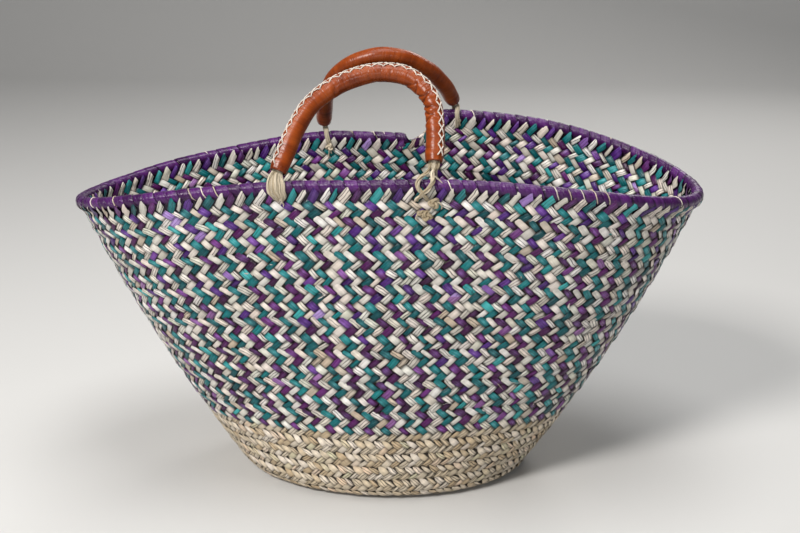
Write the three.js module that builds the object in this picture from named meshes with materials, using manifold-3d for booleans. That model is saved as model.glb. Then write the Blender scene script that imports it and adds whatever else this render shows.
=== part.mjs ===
// A straw market basket. Palm-leaf plait is wound in one rising spiral from the middle of the base to the rim
// and sewn edge to edge: a narrow natural plait makes the base and the foot of the wall, a wide dyed plait
// the rest. A leaf-bound roll closes the edge, and two rope handles in laced leather sleeves tie over it.
// Millimetres, +Z up, the long axis along X, the origin on the floor under the middle of the base.
import * as THREE from "three";
import { mergeVertices } from "three/addons/utils/BufferGeometryUtils.js";
import Module from "manifold-3d";

const wasm = await Module();
wasm.setup();

// Base and wall. Leans are degrees outward from upright, at the foot and at the rim of the wall.
const BASE_LENGTH = 298;
const BASE_WIDTH = 204;
const CORNER_RADIUS = 19;
const SIDE_FOOT_LEAN = 7.4;
const SIDE_RIM_LEAN = -0.5;
const END_FOOT_LEAN = 35.3;
const END_RIM_LEAN = 22.5;
const END_SHARPNESS = 2.95;

// Plait, wound anticlockwise as seen from above
const PLAIT_THICKNESS = 4;
const START_STRIP_WIDTH = 18;
const NATURAL_WIDTH = 14.5;
const NATURAL_TURNS = 11;
const DYED_WIDTH = 31.5;
const DYED_TURNS = 8;
const TURN_START = 85.5;
const END_TAPER = 15;
const SEAM_CORD = 1;

// The rim's wave, in degrees on from the turn's start: high at the step, low to its left
const WAVE_HIGH = 6;
const WAVE_LOW = 6.5;
const WAVE_BEFORE = 2.5;
const WAVE_FALL = [22, 61];
const WAVE_RECOVER = [72, 108];
const WAVE_RISE = [295, 324];
const WAVE_STEP = [352, 360];
const PLAIT_TIP = 1;

// Rim roll
const RIM_CORE = 6.2;
const BINDING_WALL = 1.8;
const BINDING_LEG = 3;

// Handles. Feet are degrees round the rim, leans are degrees inward from upright.
const FRONT_LEFT_FOOT = 244;
const FRONT_RIGHT_FOOT = 288.5;
const BACK_LEFT_FOOT = 113.5;
const BACK_RIGHT_FOOT = 68.5;
const FRONT_LEAN = 33;
const BACK_LEAN = 38;
const FRONT_RISE = 90.5;
const BACK_RISE = 92;
const HANDLE_ROPE = 11.4;
const FLEX_ROPE = 7;
const SLEEVE_WALL = 2;
const SLEEVE_SETBACK = 9;
const LACE = 1.4;
const LACE_PITCH = 11.2;
const LACE_SPREAD = 5;
const FRONT_LACE_TURN = -50;
const BACK_LACE_TURN = 100;

// Ties of the handle ropes
const TIE_ROPE = 3.6;
const TIE_DROP = 5;
const TIE_SLACK = 0.6;
const KNOT = 9;
const KNOT_TAIL = 7;
const KNOT_SEAT = 1;

// Gap between pieces that touch
const FIT = 0.3;

// Arches as shares of the span between the feet and of the rise
const FRONT_ARCH = [
  [0, 0],
  [0.033, 0.2],
  [0.086, 0.42],
  [0.168, 0.645],
  [0.3, 0.84],
  [0.44, 0.945],
  [0.58, 0.993],
  [0.695, 1],
  [0.815, 0.962],
  [0.914, 0.857],
  [0.977, 0.727],
  [1.006, 0.55],
  [1.01, 0.33],
  [1, 0],
];
const BACK_ARCH = [
  [0, 0],
  [0.03, 0.24],
  [0.07, 0.49],
  [0.125, 0.7],
  [0.22, 0.875],
  [0.343, 0.972],
  [0.49, 1],
  [0.645, 0.97],
  [0.785, 0.852],
  [0.895, 0.615],
  [0.968, 0.313],
  [1, 0],
];

// Facets
const TURN_STEPS = 32;
const TAPER_STEPS = 4;
const ROPE_SIDES = 8;
const SLEEVE_SIDES = 10;
const SLEEVE_STEPS = 22;
const TIE_SIDES = 6;
const TIE_STEPS = 14;

const rad = THREE.MathUtils.degToRad;
const lerp = THREE.MathUtils.lerp;
const TAU = 2 * Math.PI;
const UP = new THREE.Vector3(0, 0, 1);

// Sizes that follow from the ones above
const seamGap = SEAM_CORD + 2 * FIT;
const startReach = START_STRIP_WIDTH / 2;
const naturalReach = startReach + NATURAL_WIDTH * NATURAL_TURNS;
const flatReach = BASE_WIDTH / 2 - CORNER_RADIUS;
const slant = naturalReach + DYED_WIDTH * (DYED_TURNS - 0.5) - flatReach;
const spine = (BASE_LENGTH - BASE_WIDTH) / 2;
const lastTurn = NATURAL_TURNS + DYED_TURNS;
const coreRadius = RIM_CORE / 2;
const coreRise = FIT + coreRadius;
const bindingRadius = coreRadius + FIT + BINDING_WALL;
const tieRadius = TIE_ROPE / 2;
const tieTop = coreRise + bindingRadius + TIE_SLACK + tieRadius;
const tieBottom = -BINDING_LEG - TIE_DROP;
const tieHalfWidth = bindingRadius + 2 * TIE_SLACK + tieRadius;
const flexRadius = FLEX_ROPE / 2;
const flexRise = tieTop + tieRadius + FIT + flexRadius;
const ropeRadius = HANDLE_ROPE / 2;
const sleeveBore = ropeRadius + FIT;
const sleeveRadius = sleeveBore + SLEEVE_WALL;

// Places along one turn, closer together where the last turn tapers off
const taperShare = END_TAPER / 360;
const evenSteps = (from, to, steps) => Array.from({ length: steps }, (_, i) => lerp(from, to, i / steps));
const TURN = [...evenSteps(0, 1 - taperShare, TURN_STEPS), ...evenSteps(1 - taperShare, 1, TAPER_STEPS), 1];
const angleAt = (share) => rad(TURN_START) + TAU * share;
const shareAt = (degrees) => THREE.MathUtils.euclideanModulo(degrees - TURN_START, 360) / 360;

// A closed body through rings of points with equal counts. An open row of rings gets a cap at each end.
function loft(rings, loop = false) {
  const size = rings[0].length;
  const index = [];
  for (let i = 0; i < rings.length - (loop ? 0 : 1); i++) {
    const here = i * size;
    const next = ((i + 1) % rings.length) * size;
    for (let j = 0; j < size; j++) {
      const k = (j + 1) % size;
      index.push(here + j, here + k, next + k, here + j, next + k, next + j);
    }
  }
  if (!loop) {
    const end = (rings.length - 1) * size;
    for (let j = 1; j < size - 1; j++) {
      index.push(0, j + 1, j, end, end + j, end + j + 1);
    }
  }
  const points = rings.flat();
  let volume = 0;
  for (let i = 0; i < index.length; i += 3) {
    const [a, b, c] = index.slice(i, i + 3).map((n) => points[n]);
    volume += a.dot(b.clone().cross(c));
  }
  if (volume < 0) index.reverse();
  return new THREE.BufferGeometry().setFromPoints(points).setIndex(index);
}

// A point of the shell's outer face: angle round the oval, reach along the surface from the base's spine.
// Each upright section is flat, turns up a corner arc, then bends evenly from the foot lean to the rim lean.
function shellPoint(angle, reach) {
  const endShare = Math.abs(Math.cos(angle)) ** END_SHARPNESS;
  const footLean = rad(lerp(SIDE_FOOT_LEAN, END_FOOT_LEAN, endShare));
  const rimLean = rad(lerp(SIDE_RIM_LEAN, END_RIM_LEAN, endShare));
  const arc = CORNER_RADIUS * (Math.PI / 2 - footLean);
  const turned = THREE.MathUtils.clamp(reach - flatReach, 0, arc) / CORNER_RADIUS;
  const up = Math.max(reach - flatReach - arc, 0);
  const bend = (rimLean - footLean) / (slant - arc);
  const lean = footLean + bend * up;
  const out =
    Math.min(reach, flatReach) +
    CORNER_RADIUS * Math.sin(turned) +
    (Math.cos(footLean) - Math.cos(lean)) / bend;
  const height = CORNER_RADIUS * (1 - Math.cos(turned)) + (Math.sin(lean) - Math.sin(footLean)) / bend;
  return new THREE.Vector3((spine + out) * Math.cos(angle), out * Math.sin(angle), height);
}

// Directions at a point of the shell: out of the wall and up along it
function shellFrame(angle, reach) {
  const turn = 1e-3;
  const step = 1e-2;
  const round = shellPoint(angle + turn, reach).sub(shellPoint(angle - turn, reach));
  const up = shellPoint(angle, reach + step).sub(shellPoint(angle, reach - step)).normalize();
  return { out: round.cross(up).normalize(), up };
}

// A point at some depth inside the shell's outer face
function inShell(angle, reach, depth) {
  return shellPoint(angle, reach).addScaledVector(shellFrame(angle, reach).out, -depth);
}

// How far the rim stands above an even climb
function wave(share) {
  const step = ([from, to]) => THREE.MathUtils.smoothstep(360 * share, from, to);
  return (
    WAVE_HIGH * (1 - step(WAVE_FALL)) -
    WAVE_LOW * (step(WAVE_FALL) - step(WAVE_RECOVER)) +
    WAVE_BEFORE * step(WAVE_RISE) +
    (WAVE_HIGH - WAVE_BEFORE) * step(WAVE_STEP)
  );
}

// Reach of the seam above a turn. Turn 0 is the straight start strip. The dyed turns take up the rim's wave
// as they climb, and the last turn tapers off at its end.
function seam(turn, share) {
  if (turn === 0) return startReach;
  if (turn <= NATURAL_TURNS) return startReach + NATURAL_WIDTH * (turn - 1 + share);
  const climb = DYED_WIDTH * (turn - NATURAL_TURNS - 1 + share);
  const swell = THREE.MathUtils.smoothstep(climb, 0, DYED_WIDTH * (DYED_TURNS - 1));
  const plain = naturalReach + climb + swell * wave(share);
  if (turn < lastTurn) return plain;
  const below = seam(turn - 1, share);
  return below + (plain - below) * THREE.MathUtils.smoothstep((1 - share) / taperShare, 0, 1);
}

// Lower and upper edge of a turn's strip
function edges(turn, share) {
  const low = seam(turn - 1, share) + seamGap / 2;
  const high = seam(turn, share) - (turn === lastTurn ? 0 : seamGap / 2);
  return { low, high };
}

// One turn of plait, with its start set off from the end of the turn before it
function plaitTurn(turn) {
  const { low } = edges(turn, 0);
  const pace = shellPoint(angleAt(1e-3), low).distanceTo(shellPoint(angleAt(0), low)) / 1e-3;
  const shares = [FIT / pace, ...TURN.slice(1)].filter((share) => {
    const edge = edges(turn, share);
    return edge.high - edge.low >= PLAIT_TIP;
  });
  const bent = seam(turn, 1) > flatReach && seam(turn - 1, 0) < flatReach + CORNER_RADIUS * 1.6;
  const across = bent ? [0, 0.5, 1] : [0, 1];
  return loft(
    shares.map((share) => {
      const { low: from, high: to } = edges(turn, share);
      const point = (part, depth) => inShell(angleAt(share), lerp(from, to, part), depth);
      const outer = across.map((part) => point(part, 0));
      const inner = across.map((part) => point(part, PLAIT_THICKNESS)).reverse();
      return [...outer, ...inner];
    }),
  );
}

// The straight strip that the spiral starts round
function startStrip() {
  const outline = (depth) =>
    TURN.slice(0, -1).map((share) => inShell(angleAt(share), startReach - seamGap / 2, depth));
  return loft([outline(0), outline(PLAIT_THICKNESS)]);
}

// Middle line of the sewing cord in the seams from one turn to another
function seamLine(first, last) {
  const line = [];
  for (let turn = first; turn <= last; turn++) {
    for (const share of TURN.slice(0, -1)) {
      const edge = edges(turn + 1, share);
      const begun = turn > 0 || seam(1, share) - startReach >= seamGap + PLAIT_TIP;
      if (begun && edge.high - edge.low >= 0) line.push({ turn, share });
    }
  }
  return line;
}

function seamCord(first, last, name) {
  const line = seamLine(first, last).map(({ turn, share }) => {
    const angle = angleAt(share);
    const reach = seam(turn, share);
    return { ...shellFrame(angle, reach), centre: inShell(angle, reach, PLAIT_THICKNESS / 2) };
  });
  const rings = line.map(({ centre, out, up }) => roundRing(centre, out, up, SEAM_CORD / 2, 3));
  let least = Infinity;
  line.forEach(({ centre }, i) => {
    for (let j = i + TURN_STEPS / 2; j < line.length; j++) {
      least = Math.min(least, centre.distanceTo(line[j].centre));
    }
  });
  console.log(`${name}: least gap to itself ${(least - SEAM_CORD).toFixed(2)} mm`);
  return loft(rings);
}

function roundRing(centre, a, b, radius, sides) {
  return Array.from({ length: sides }, (_, i) => {
    const turn = (TAU * i) / sides;
    return centre
      .clone()
      .addScaledVector(a, radius * Math.cos(turn))
      .addScaledVector(b, radius * Math.sin(turn));
  });
}

// Frames along the wall's top edge: middle of the edge, out of the wall, and up square to the edge
const rimLine = TURN.slice(0, -1).map((share) =>
  inShell(angleAt(share), seam(lastTurn, share), PLAIT_THICKNESS / 2),
);
const rimFrames = rimLine.map((middle, i) => {
  const count = rimLine.length;
  const along = rimLine[(i + 1) % count].clone().sub(rimLine[(i + count - 1) % count]).normalize();
  const facing = shellFrame(angleAt(TURN[i]), seam(lastTurn, TURN[i])).out;
  const up = facing.cross(along).normalize();
  return { middle, out: along.cross(up).normalize(), up };
});

// The rim's frame at any place along the edge, on its facets
function rimFrameAt(degrees) {
  const share = shareAt(degrees);
  const i = TURN.findIndex((value) => value > share) - 1;
  const part = (share - TURN[i]) / (TURN[i + 1] - TURN[i]);
  const here = rimFrames[i];
  const next = rimFrames[(i + 1) % rimFrames.length];
  return {
    middle: here.middle.clone().lerp(next.middle, part),
    out: here.out.clone().lerp(next.out, part).normalize(),
    up: here.up.clone().lerp(next.up, part).normalize(),
  };
}

const inFrame = (frame, out, up) =>
  frame.middle.clone().addScaledVector(frame.out, out).addScaledVector(frame.up, up);

function rimCore() {
  const rings = rimFrames.map((frame) => {
    const centre = inFrame(frame, 0, coreRise);
    return roundRing(centre, frame.out, frame.up, coreRadius, ROPE_SIDES);
  });
  return loft(rings, true);
}

// The leaf binding: a roll round the core, with a leg down each face of the wall
function rimBinding() {
  const slot = PLAIT_THICKNESS / 2 + FIT;
  const section = [];
  const addSide = (radius, half, steps, sign) => {
    const start = -Math.acos(half / radius);
    const row = [[half, -BINDING_LEG]];
    for (let i = 0; i <= steps; i++) {
      const turn = lerp(start, Math.PI - start, i / steps);
      row.push([radius * Math.cos(turn), coreRise + radius * Math.sin(turn)]);
    }
    row.push([-half, -BINDING_LEG]);
    section.push(...(sign < 0 ? row.reverse() : row));
  };
  addSide(bindingRadius, slot + BINDING_WALL, 8, 1);
  addSide(coreRadius + FIT, slot, 6, -1);
  return loft(
    rimFrames.map((frame) => section.map(([out, up]) => inFrame(frame, out, up))),
    true,
  );
}

function toSolid(geometry) {
  const bare = geometry.clone();
  bare.deleteAttribute("normal");
  bare.deleteAttribute("uv");
  const merged = mergeVertices(bare, 1e-4);
  const vertProperties = new Float32Array(merged.attributes.position.array);
  const triVerts = new Uint32Array(merged.index.array);
  return new wasm.Manifold(new wasm.Mesh({ numProp: 3, vertProperties, triVerts }));
}

function toGeometry(solid) {
  const { vertProperties, triVerts } = solid.getMesh();
  return new THREE.BufferGeometry()
    .setAttribute("position", new THREE.BufferAttribute(vertProperties, 3))
    .setIndex(new THREE.BufferAttribute(triVerts, 1));
}

// The tie of a handle's rope: a loop over the rim and through the wall, with a knot on one face of the wall
function tie(frame, knotSide) {
  const middle = (tieTop + tieBottom) / 2;
  const half = (tieTop - tieBottom) / 2;
  const along = frame.out.clone().cross(frame.up);
  const rings = Array.from({ length: TIE_STEPS }, (_, i) => {
    const turn = (TAU * i) / TIE_STEPS;
    const centre = inFrame(frame, tieHalfWidth * Math.cos(turn), middle + half * Math.sin(turn));
    const spoke = frame.out
      .clone()
      .multiplyScalar(half * Math.cos(turn))
      .addScaledVector(frame.up, tieHalfWidth * Math.sin(turn))
      .normalize();
    return roundRing(centre, spoke, along, tieRadius, TIE_SIDES);
  });
  const lump = (size, up) => {
    const out = knotSide * (PLAIT_THICKNESS / 2 + FIT + size / 2);
    const ball = new THREE.SphereGeometry(size / 2, 8, 6);
    const place = inFrame(frame, out, up);
    return toSolid(ball.translate(place.x, place.y, place.z));
  };
  const knot = lump(KNOT, tieBottom + KNOT_SEAT).add(lump(KNOT_TAIL, tieBottom + KNOT_SEAT - KNOT_TAIL));
  return toGeometry(toSolid(loft(rings, true)).add(knot));
}

// The hole in the last turn that a tie goes through
function tieHole(frame) {
  const along = frame.out.clone().cross(frame.up);
  const radius = tieRadius + 2 * FIT;
  const ring = (out) => roundRing(inFrame(frame, out, tieBottom), frame.up, along, radius, ROPE_SIDES);
  return toSolid(loft([ring(-PLAIT_THICKNESS), ring(PLAIT_THICKNESS)]));
}

// A handle lies in its group's XZ plane, and the group's X axis is its hinge line through both flex points
function handleGroup(name, left, right, lean) {
  const start = inFrame(left, 0, flexRise);
  const end = inFrame(right, 0, flexRise);
  const group = new THREE.Group();
  const x = end.clone().sub(start).normalize();
  const z = UP.clone().addScaledVector(x, -x.z).normalize();
  group.name = name;
  group.position.copy(start);
  group.quaternion.setFromRotationMatrix(new THREE.Matrix4().makeBasis(x, z.clone().cross(x), z));
  group.rotateX(rad(lean));
  return { group, span: start.distanceTo(end) };
}

const archCurve = (shares, span, rise) =>
  new THREE.CatmullRomCurve3(shares.map(([x, z]) => new THREE.Vector3(x * span, 0, z * rise)));

// Place, side and outward direction at some length along an arch
function archFrame(curve, length) {
  const part = THREE.MathUtils.clamp(length / curve.getLength(), 0, 1);
  const along = curve.getTangentAt(part);
  const beyond = length - part * curve.getLength();
  const side = new THREE.Vector3(0, 1, 0);
  return {
    centre: curve.getPointAt(part).addScaledVector(along, beyond),
    side,
    out: along.clone().cross(side).normalize(),
  };
}

function archRing(curve, length, radius, sides) {
  const { centre, side, out } = archFrame(curve, length);
  return roundRing(centre, out, side, radius, sides);
}

// Rope with ball ends on the flex points
function handleRope(curve) {
  const total = curve.getLength();
  const ends = [-0.97, -0.7, 0].map((part) => [part * flexRadius, flexRadius * Math.sqrt(1 - part * part)]);
  const body = [...evenSteps(SLEEVE_SETBACK, total - SLEEVE_SETBACK, SLEEVE_STEPS), total - SLEEVE_SETBACK];
  const stations = [
    ...ends,
    ...body.map((length) => [length, ropeRadius]),
    ...ends.map(([length, radius]) => [total - length, radius]).reverse(),
  ];
  return loft(stations.map(([length, radius]) => archRing(curve, length, radius, ROPE_SIDES)));
}

function handleSleeve(curve) {
  const end = curve.getLength() - SLEEVE_SETBACK;
  const lengths = [...evenSteps(SLEEVE_SETBACK, end, SLEEVE_STEPS), end];
  const outer = lengths.map((length) => archRing(curve, length, sleeveRadius, SLEEVE_SIDES));
  const inner = lengths.map((length) => archRing(curve, length, sleeveBore, SLEEVE_SIDES)).reverse();
  return loft([...outer, ...inner], true);
}

// The lace crosses the sleeve's seam from side to side
function handleLace(curve, laceTurn) {
  const swing = LACE_SPREAD / 2 / sleeveRadius;
  const radius = (sleeveRadius + FIT + LACE / 2) / Math.cos(swing);
  const first = SLEEVE_SETBACK + LACE_PITCH / 2;
  const count = 2 * Math.floor((curve.getLength() - 2 * first) / LACE_PITCH);
  return loft(
    Array.from({ length: count + 1 }, (_, i) => {
      const { centre, side, out } = archFrame(curve, first + (i * LACE_PITCH) / 2);
      const turn = rad(laceTurn) + (i % 2 ? swing : -swing);
      const spoke = out.clone().multiplyScalar(Math.cos(turn)).addScaledVector(side, Math.sin(turn));
      const across = side.clone().multiplyScalar(Math.cos(turn)).addScaledVector(out, -Math.sin(turn));
      return roundRing(centre.addScaledVector(spoke, radius), spoke, across, LACE / 2, 3);
    }),
  );
}

const material = (color, roughness) => new THREE.MeshStandardMaterial({ color, roughness, metalness: 0 });
const natural = material(0xc8bc9c, 0.7);
const dyed = material(0x7c6b8c, 0.6);
const cord = material(0xb39c6c, 0.85);
const purple = material(0x43124f, 0.45);
const leather = material(0xa84e20, 0.5);
const rope = material(0xc2ab7a, 0.9);
const thread = material(0xe6ddca, 0.8);

const basket = new THREE.Group();

function add(parent, name, geometry, look) {
  const mesh = new THREE.Mesh(geometry, look);
  mesh.name = name;
  parent.add(mesh);
}

const feet = {
  front_left: rimFrameAt(FRONT_LEFT_FOOT),
  front_right: rimFrameAt(FRONT_RIGHT_FOOT),
  back_left: rimFrameAt(BACK_LEFT_FOOT),
  back_right: rimFrameAt(BACK_RIGHT_FOOT),
};

add(basket, "base_start_strip", startStrip(), natural);
for (let turn = 1; turn <= NATURAL_TURNS; turn++) {
  add(basket, `natural_plait_turn_${turn}`, plaitTurn(turn), natural);
}
for (let turn = 1; turn < DYED_TURNS; turn++) {
  add(basket, `dyed_plait_turn_${turn}`, plaitTurn(NATURAL_TURNS + turn), dyed);
}
const topTurn = Object.values(feet).reduce(
  (solid, foot) => solid.subtract(tieHole(foot)),
  toSolid(plaitTurn(lastTurn)),
);
add(basket, `dyed_plait_turn_${DYED_TURNS}`, toGeometry(topTurn), dyed);
add(basket, "natural_seam_cord", seamCord(0, NATURAL_TURNS - 1, "natural_seam_cord"), cord);
add(basket, "dyed_seam_cord", seamCord(NATURAL_TURNS, lastTurn - 1, "dyed_seam_cord"), cord);
add(basket, "rim_core", rimCore(), natural);
add(basket, "rim_binding", rimBinding(), purple);
add(basket, "front_left_rope_tie", tie(feet.front_left, -1), rope);
add(basket, "front_right_rope_tie", tie(feet.front_right, 1), rope);
add(basket, "back_left_rope_tie", tie(feet.back_left, -1), rope);
add(basket, "back_right_rope_tie", tie(feet.back_right, 1), rope);

function addHandle(name, left, right, lean, shares, rise, laceTurn) {
  const { group, span } = handleGroup(name, left, right, lean);
  const curve = archCurve(shares, span, rise);
  add(group, `${name}_rope`, handleRope(curve), rope);
  add(group, `${name}_leather_sleeve`, handleSleeve(curve), leather);
  add(group, `${name}_lace`, handleLace(curve, laceTurn), thread);
  basket.add(group);
}

const { front_left, front_right, back_left, back_right } = feet;
addHandle("front_handle", front_left, front_right, -FRONT_LEAN, FRONT_ARCH, FRONT_RISE, FRONT_LACE_TURN);
addHandle("back_handle", back_left, back_right, BACK_LEAN, BACK_ARCH, BACK_RISE, BACK_LACE_TURN);

export default basket;
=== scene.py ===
"""A straw market basket: leaf plait sewn in a spiral, a leaf-bound rim and two laced leather handles."""

import math

import bpy
import numpy as np
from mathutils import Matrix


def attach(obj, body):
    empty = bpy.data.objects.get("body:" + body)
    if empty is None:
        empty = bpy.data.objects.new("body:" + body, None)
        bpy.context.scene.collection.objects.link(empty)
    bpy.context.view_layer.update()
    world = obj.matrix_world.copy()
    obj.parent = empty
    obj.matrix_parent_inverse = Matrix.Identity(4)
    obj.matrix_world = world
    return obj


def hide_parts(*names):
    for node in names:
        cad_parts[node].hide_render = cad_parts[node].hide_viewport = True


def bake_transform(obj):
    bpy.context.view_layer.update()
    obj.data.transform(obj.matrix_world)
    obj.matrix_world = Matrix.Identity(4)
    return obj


bl_info = {
    "name": "Straw Market Basket",
    "version": (1, 0, 0),
    "blender": (4, 5, 0),
    "location": "View3D > Sidebar > Basket",
    "description": "Builds the plaited wall, bound rim and laced handles of a market basket",
    "category": "Add Mesh",
}

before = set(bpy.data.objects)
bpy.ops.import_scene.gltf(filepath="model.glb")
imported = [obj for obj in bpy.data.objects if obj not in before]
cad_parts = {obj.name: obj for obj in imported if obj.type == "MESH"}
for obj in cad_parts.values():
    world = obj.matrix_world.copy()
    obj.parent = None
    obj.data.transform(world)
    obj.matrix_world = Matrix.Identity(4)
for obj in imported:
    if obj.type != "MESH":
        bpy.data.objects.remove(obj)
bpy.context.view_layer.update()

MM = 0.001
TAU = 2 * math.pi
# Where the rim's wave falls, recovers, rises and steps up, in degrees on from the turn's start
WAVE_SPANS = ((22, 61), (72, 108), (295, 324), (352, 360))
# Marks of the dyes in a leaf's tint, where plain leaf is 0
NATURAL, TEAL, PURPLE = 0.2, 0.5, 1.0
# Dye of the strands in a plait, in the order in which they lie side by side
STRAND_DYES = np.array([PURPLE, NATURAL, TEAL, NATURAL])
# Seeds of the random draws. The turn's number is added to the first two
STRAND_SEED, TURN_SEED, LOOSE_SEED, RIM_SEED = 50, 100, 31, 7
# How far the maps of leaves are shifted at random, and those of strands one by one, in millimetres
MAP_RANGE, MAP_STEP = 90, 7.3


def length(name, description, default):
    """A size in metres."""
    return bpy.props.FloatProperty(
        name=name, description=description, default=default, min=0.0, precision=4, unit="LENGTH"
    )


def angle(name, description, degrees):
    """An angle that is given in degrees."""
    return bpy.props.FloatProperty(
        name=name, description=description, default=math.radians(degrees), subtype="ANGLE"
    )


def count(name, description, default):
    """A whole number of 1 or more."""
    return bpy.props.IntProperty(name=name, description=description, default=default, min=1)


def colour(name, description, default):
    """A colour as linear red, green and blue."""
    return bpy.props.FloatVectorProperty(
        name=name, description=description, default=default, size=3, min=0.0, max=1.0, subtype="COLOR"
    )


class BasketSizes(bpy.types.PropertyGroup):
    """Sizes of the plaited wall and its rim"""

    base_length: length("Base length", "Length of the oval base", 0.298)
    base_width: length("Base width", "Width of the oval base", 0.204)
    corner_radius: length("Corner radius", "Radius of the turn from base to wall", 0.019)
    side_foot_lean: angle("Side foot lean", "Outward lean of the long sides at the foot", 7.4)
    side_rim_lean: angle("Side rim lean", "Outward lean of the long sides at the rim", -0.5)
    end_foot_lean: angle("End foot lean", "Outward lean of the ends at the foot", 35.3)
    end_rim_lean: angle("End rim lean", "Outward lean of the ends at the rim", 22.5)
    end_sharpness: bpy.props.FloatProperty(
        name="End sharpness", description="How late the lean grows towards the ends", default=2.95
    )
    thickness: length("Plait thickness", "Thickness of the plait", 0.004)
    start_width: length("Start strip width", "Width of the strip that the spiral starts round", 0.018)
    natural_width: length("Natural plait width", "Width of the narrow natural plait", 0.0145)
    natural_turns: count("Natural turns", "Turns of natural plait", 11)
    dyed_width: length("Dyed plait width", "Width of the wide dyed plait", 0.0315)
    dyed_turns: count("Dyed turns", "Turns of dyed plait", 8)
    turn_start: angle("Turn start", "Where each turn starts, seen from above", 85.5)
    end_taper: angle("End taper", "How far round the plait's end tapers off", 15.0)
    wave_high: length("Wave at the step", "How far the rim stands up at its step", 0.006)
    wave_low: length("Wave left of the step", "How far the rim sags to the left of its step", 0.0065)
    wave_before: length("Wave before the step", "How far the rim stands up before its step", 0.0025)
    natural_pitch: length("Natural leaf pitch", "Step from leaf to leaf along the natural plait", 0.0078)
    dyed_pitch: length("Dyed leaf pitch", "Step from leaf to leaf along the dyed plait", 0.0086)
    rim_pitch: length("Rim leaf pitch", "Step from leaf to leaf in the row under the rim", 0.009)
    turn_swell: length("Turn swell", "How far each turn of plait stands out between its seams", 0.0009)
    roll_radius: length("Rim roll radius", "Radius of the bound roll on the rim", 0.0052)
    roll_rise: length("Rim roll rise", "Height of the roll's middle above the wall's edge", 0.0034)
    wrap_pitch: length("Wrap pitch", "Step from wrap to wrap of the rim binding", 0.0111)
    seam_cord: length("Seam cord", "Thickness of the sewing cord in the seams", 0.001)


class HandleSizes(bpy.types.PropertyGroup):
    """Sizes of the two handles"""

    front_left: angle("Front left foot", "Place of the front handle's left foot round the rim", 244.0)
    front_right: angle("Front right foot", "Place of the front handle's right foot round the rim", 288.5)
    back_left: angle("Back left foot", "Place of the back handle's left foot round the rim", 113.5)
    back_right: angle("Back right foot", "Place of the back handle's right foot round the rim", 68.5)
    front_lean: angle("Front lean", "Inward lean of the front handle", 33.0)
    back_lean: angle("Back lean", "Inward lean of the back handle", 38.0)
    front_rise: length("Front rise", "Height of the front handle's arch", 0.0895)
    back_rise: length("Back rise", "Height of the back handle's arch", 0.0851)
    flex_rise: length("Flex rise", "Height of the flex points above the wall's edge", 0.0166)
    sleeve_radius: length("Sleeve radius", "Outer radius of the leather sleeve", 0.008)
    sleeve_bore: length("Sleeve bore", "Inner radius of the leather sleeve", 0.006)
    rope_radius: length("Rope radius", "Radius of the rope in the sleeve", 0.0057)
    lace: length("Lace", "Thickness of the lace", 0.0012)
    lace_pitch: length("Lace pitch", "Step from cross to cross of the lacing", 0.0096)
    lace_spread: length("Lace spread", "Width of the lacing", 0.005)
    front_lace_turn: angle("Front lace turn", "Place of the front seam round the sleeve", -50.0)
    back_lace_turn: angle("Back lace turn", "Place of the back seam round the sleeve", 100.0)


class BasketColours(bpy.types.PropertyGroup):
    """Colours of the finishes"""

    # The plain leaf is yellower and browner than the natural leaf: partly its own tone, partly painted warm
    # reflected light on the lower plait
    plain: colour("Plain leaf", "Undyed leaf of the lower plait", (0.578, 0.487, 0.367))
    natural: colour("Natural leaf", "Undyed leaf among the dyed strands", (0.59, 0.562, 0.54))
    teal: colour("Teal leaf", "Leaf dyed teal", (0.0016, 0.118, 0.126))
    purple: colour("Purple leaf", "Leaf dyed purple", (0.061, 0.0105, 0.142))
    # The inner leaf is near black: painted shade between the two layers of floats
    core: colour("Inner leaf", "Leaf deep inside the plait", (0.045, 0.035, 0.028))
    rim: colour("Rim leaf", "Purple leaf of the rim binding", (0.052, 0.008, 0.08))
    leather: colour("Leather", "Tanned leather of the sleeves", (0.235, 0.0415, 0.0045))
    rope: colour("Rope", "Palm fibre of ropes and ties", (0.57, 0.49, 0.36))
    lace: colour("Lace", "Thread of the lacing", (0.72, 0.64, 0.56))
    floor: colour("Floor", "Plain pale floor", (0.58, 0.575, 0.56))


def unit(vectors):
    """Vectors divided by their lengths."""
    return vectors / np.linalg.norm(vectors, axis=-1, keepdims=True)


def ease(x):
    """A smooth step from 0 to 1."""
    x = np.clip(x, 0, 1)
    return x * x * (3 - 2 * x)


def hump(x):
    """A bell that is 1 at 0 and fades out within about 2."""
    return np.exp(-x * x)


def stacked(*parts):
    """Arrays brought to one shape and stacked on a new last axis."""
    return np.stack(np.broadcast_arrays(*parts), -1)


def lengths_along(line):
    """Lengths along a line of points, up to each of them."""
    return np.concatenate([[0], np.cumsum(np.linalg.norm(np.diff(line, axis=0), axis=-1))])


def sampled(at, run, line):
    """Points at lengths along a line, whose own points lie at the lengths of its run."""
    return np.stack([np.interp(at, run, axis) for axis in line.T], -1)


def full_turn(steps):
    """Angles once round, in even steps."""
    return TAU * np.arange(steps) / steps


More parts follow.
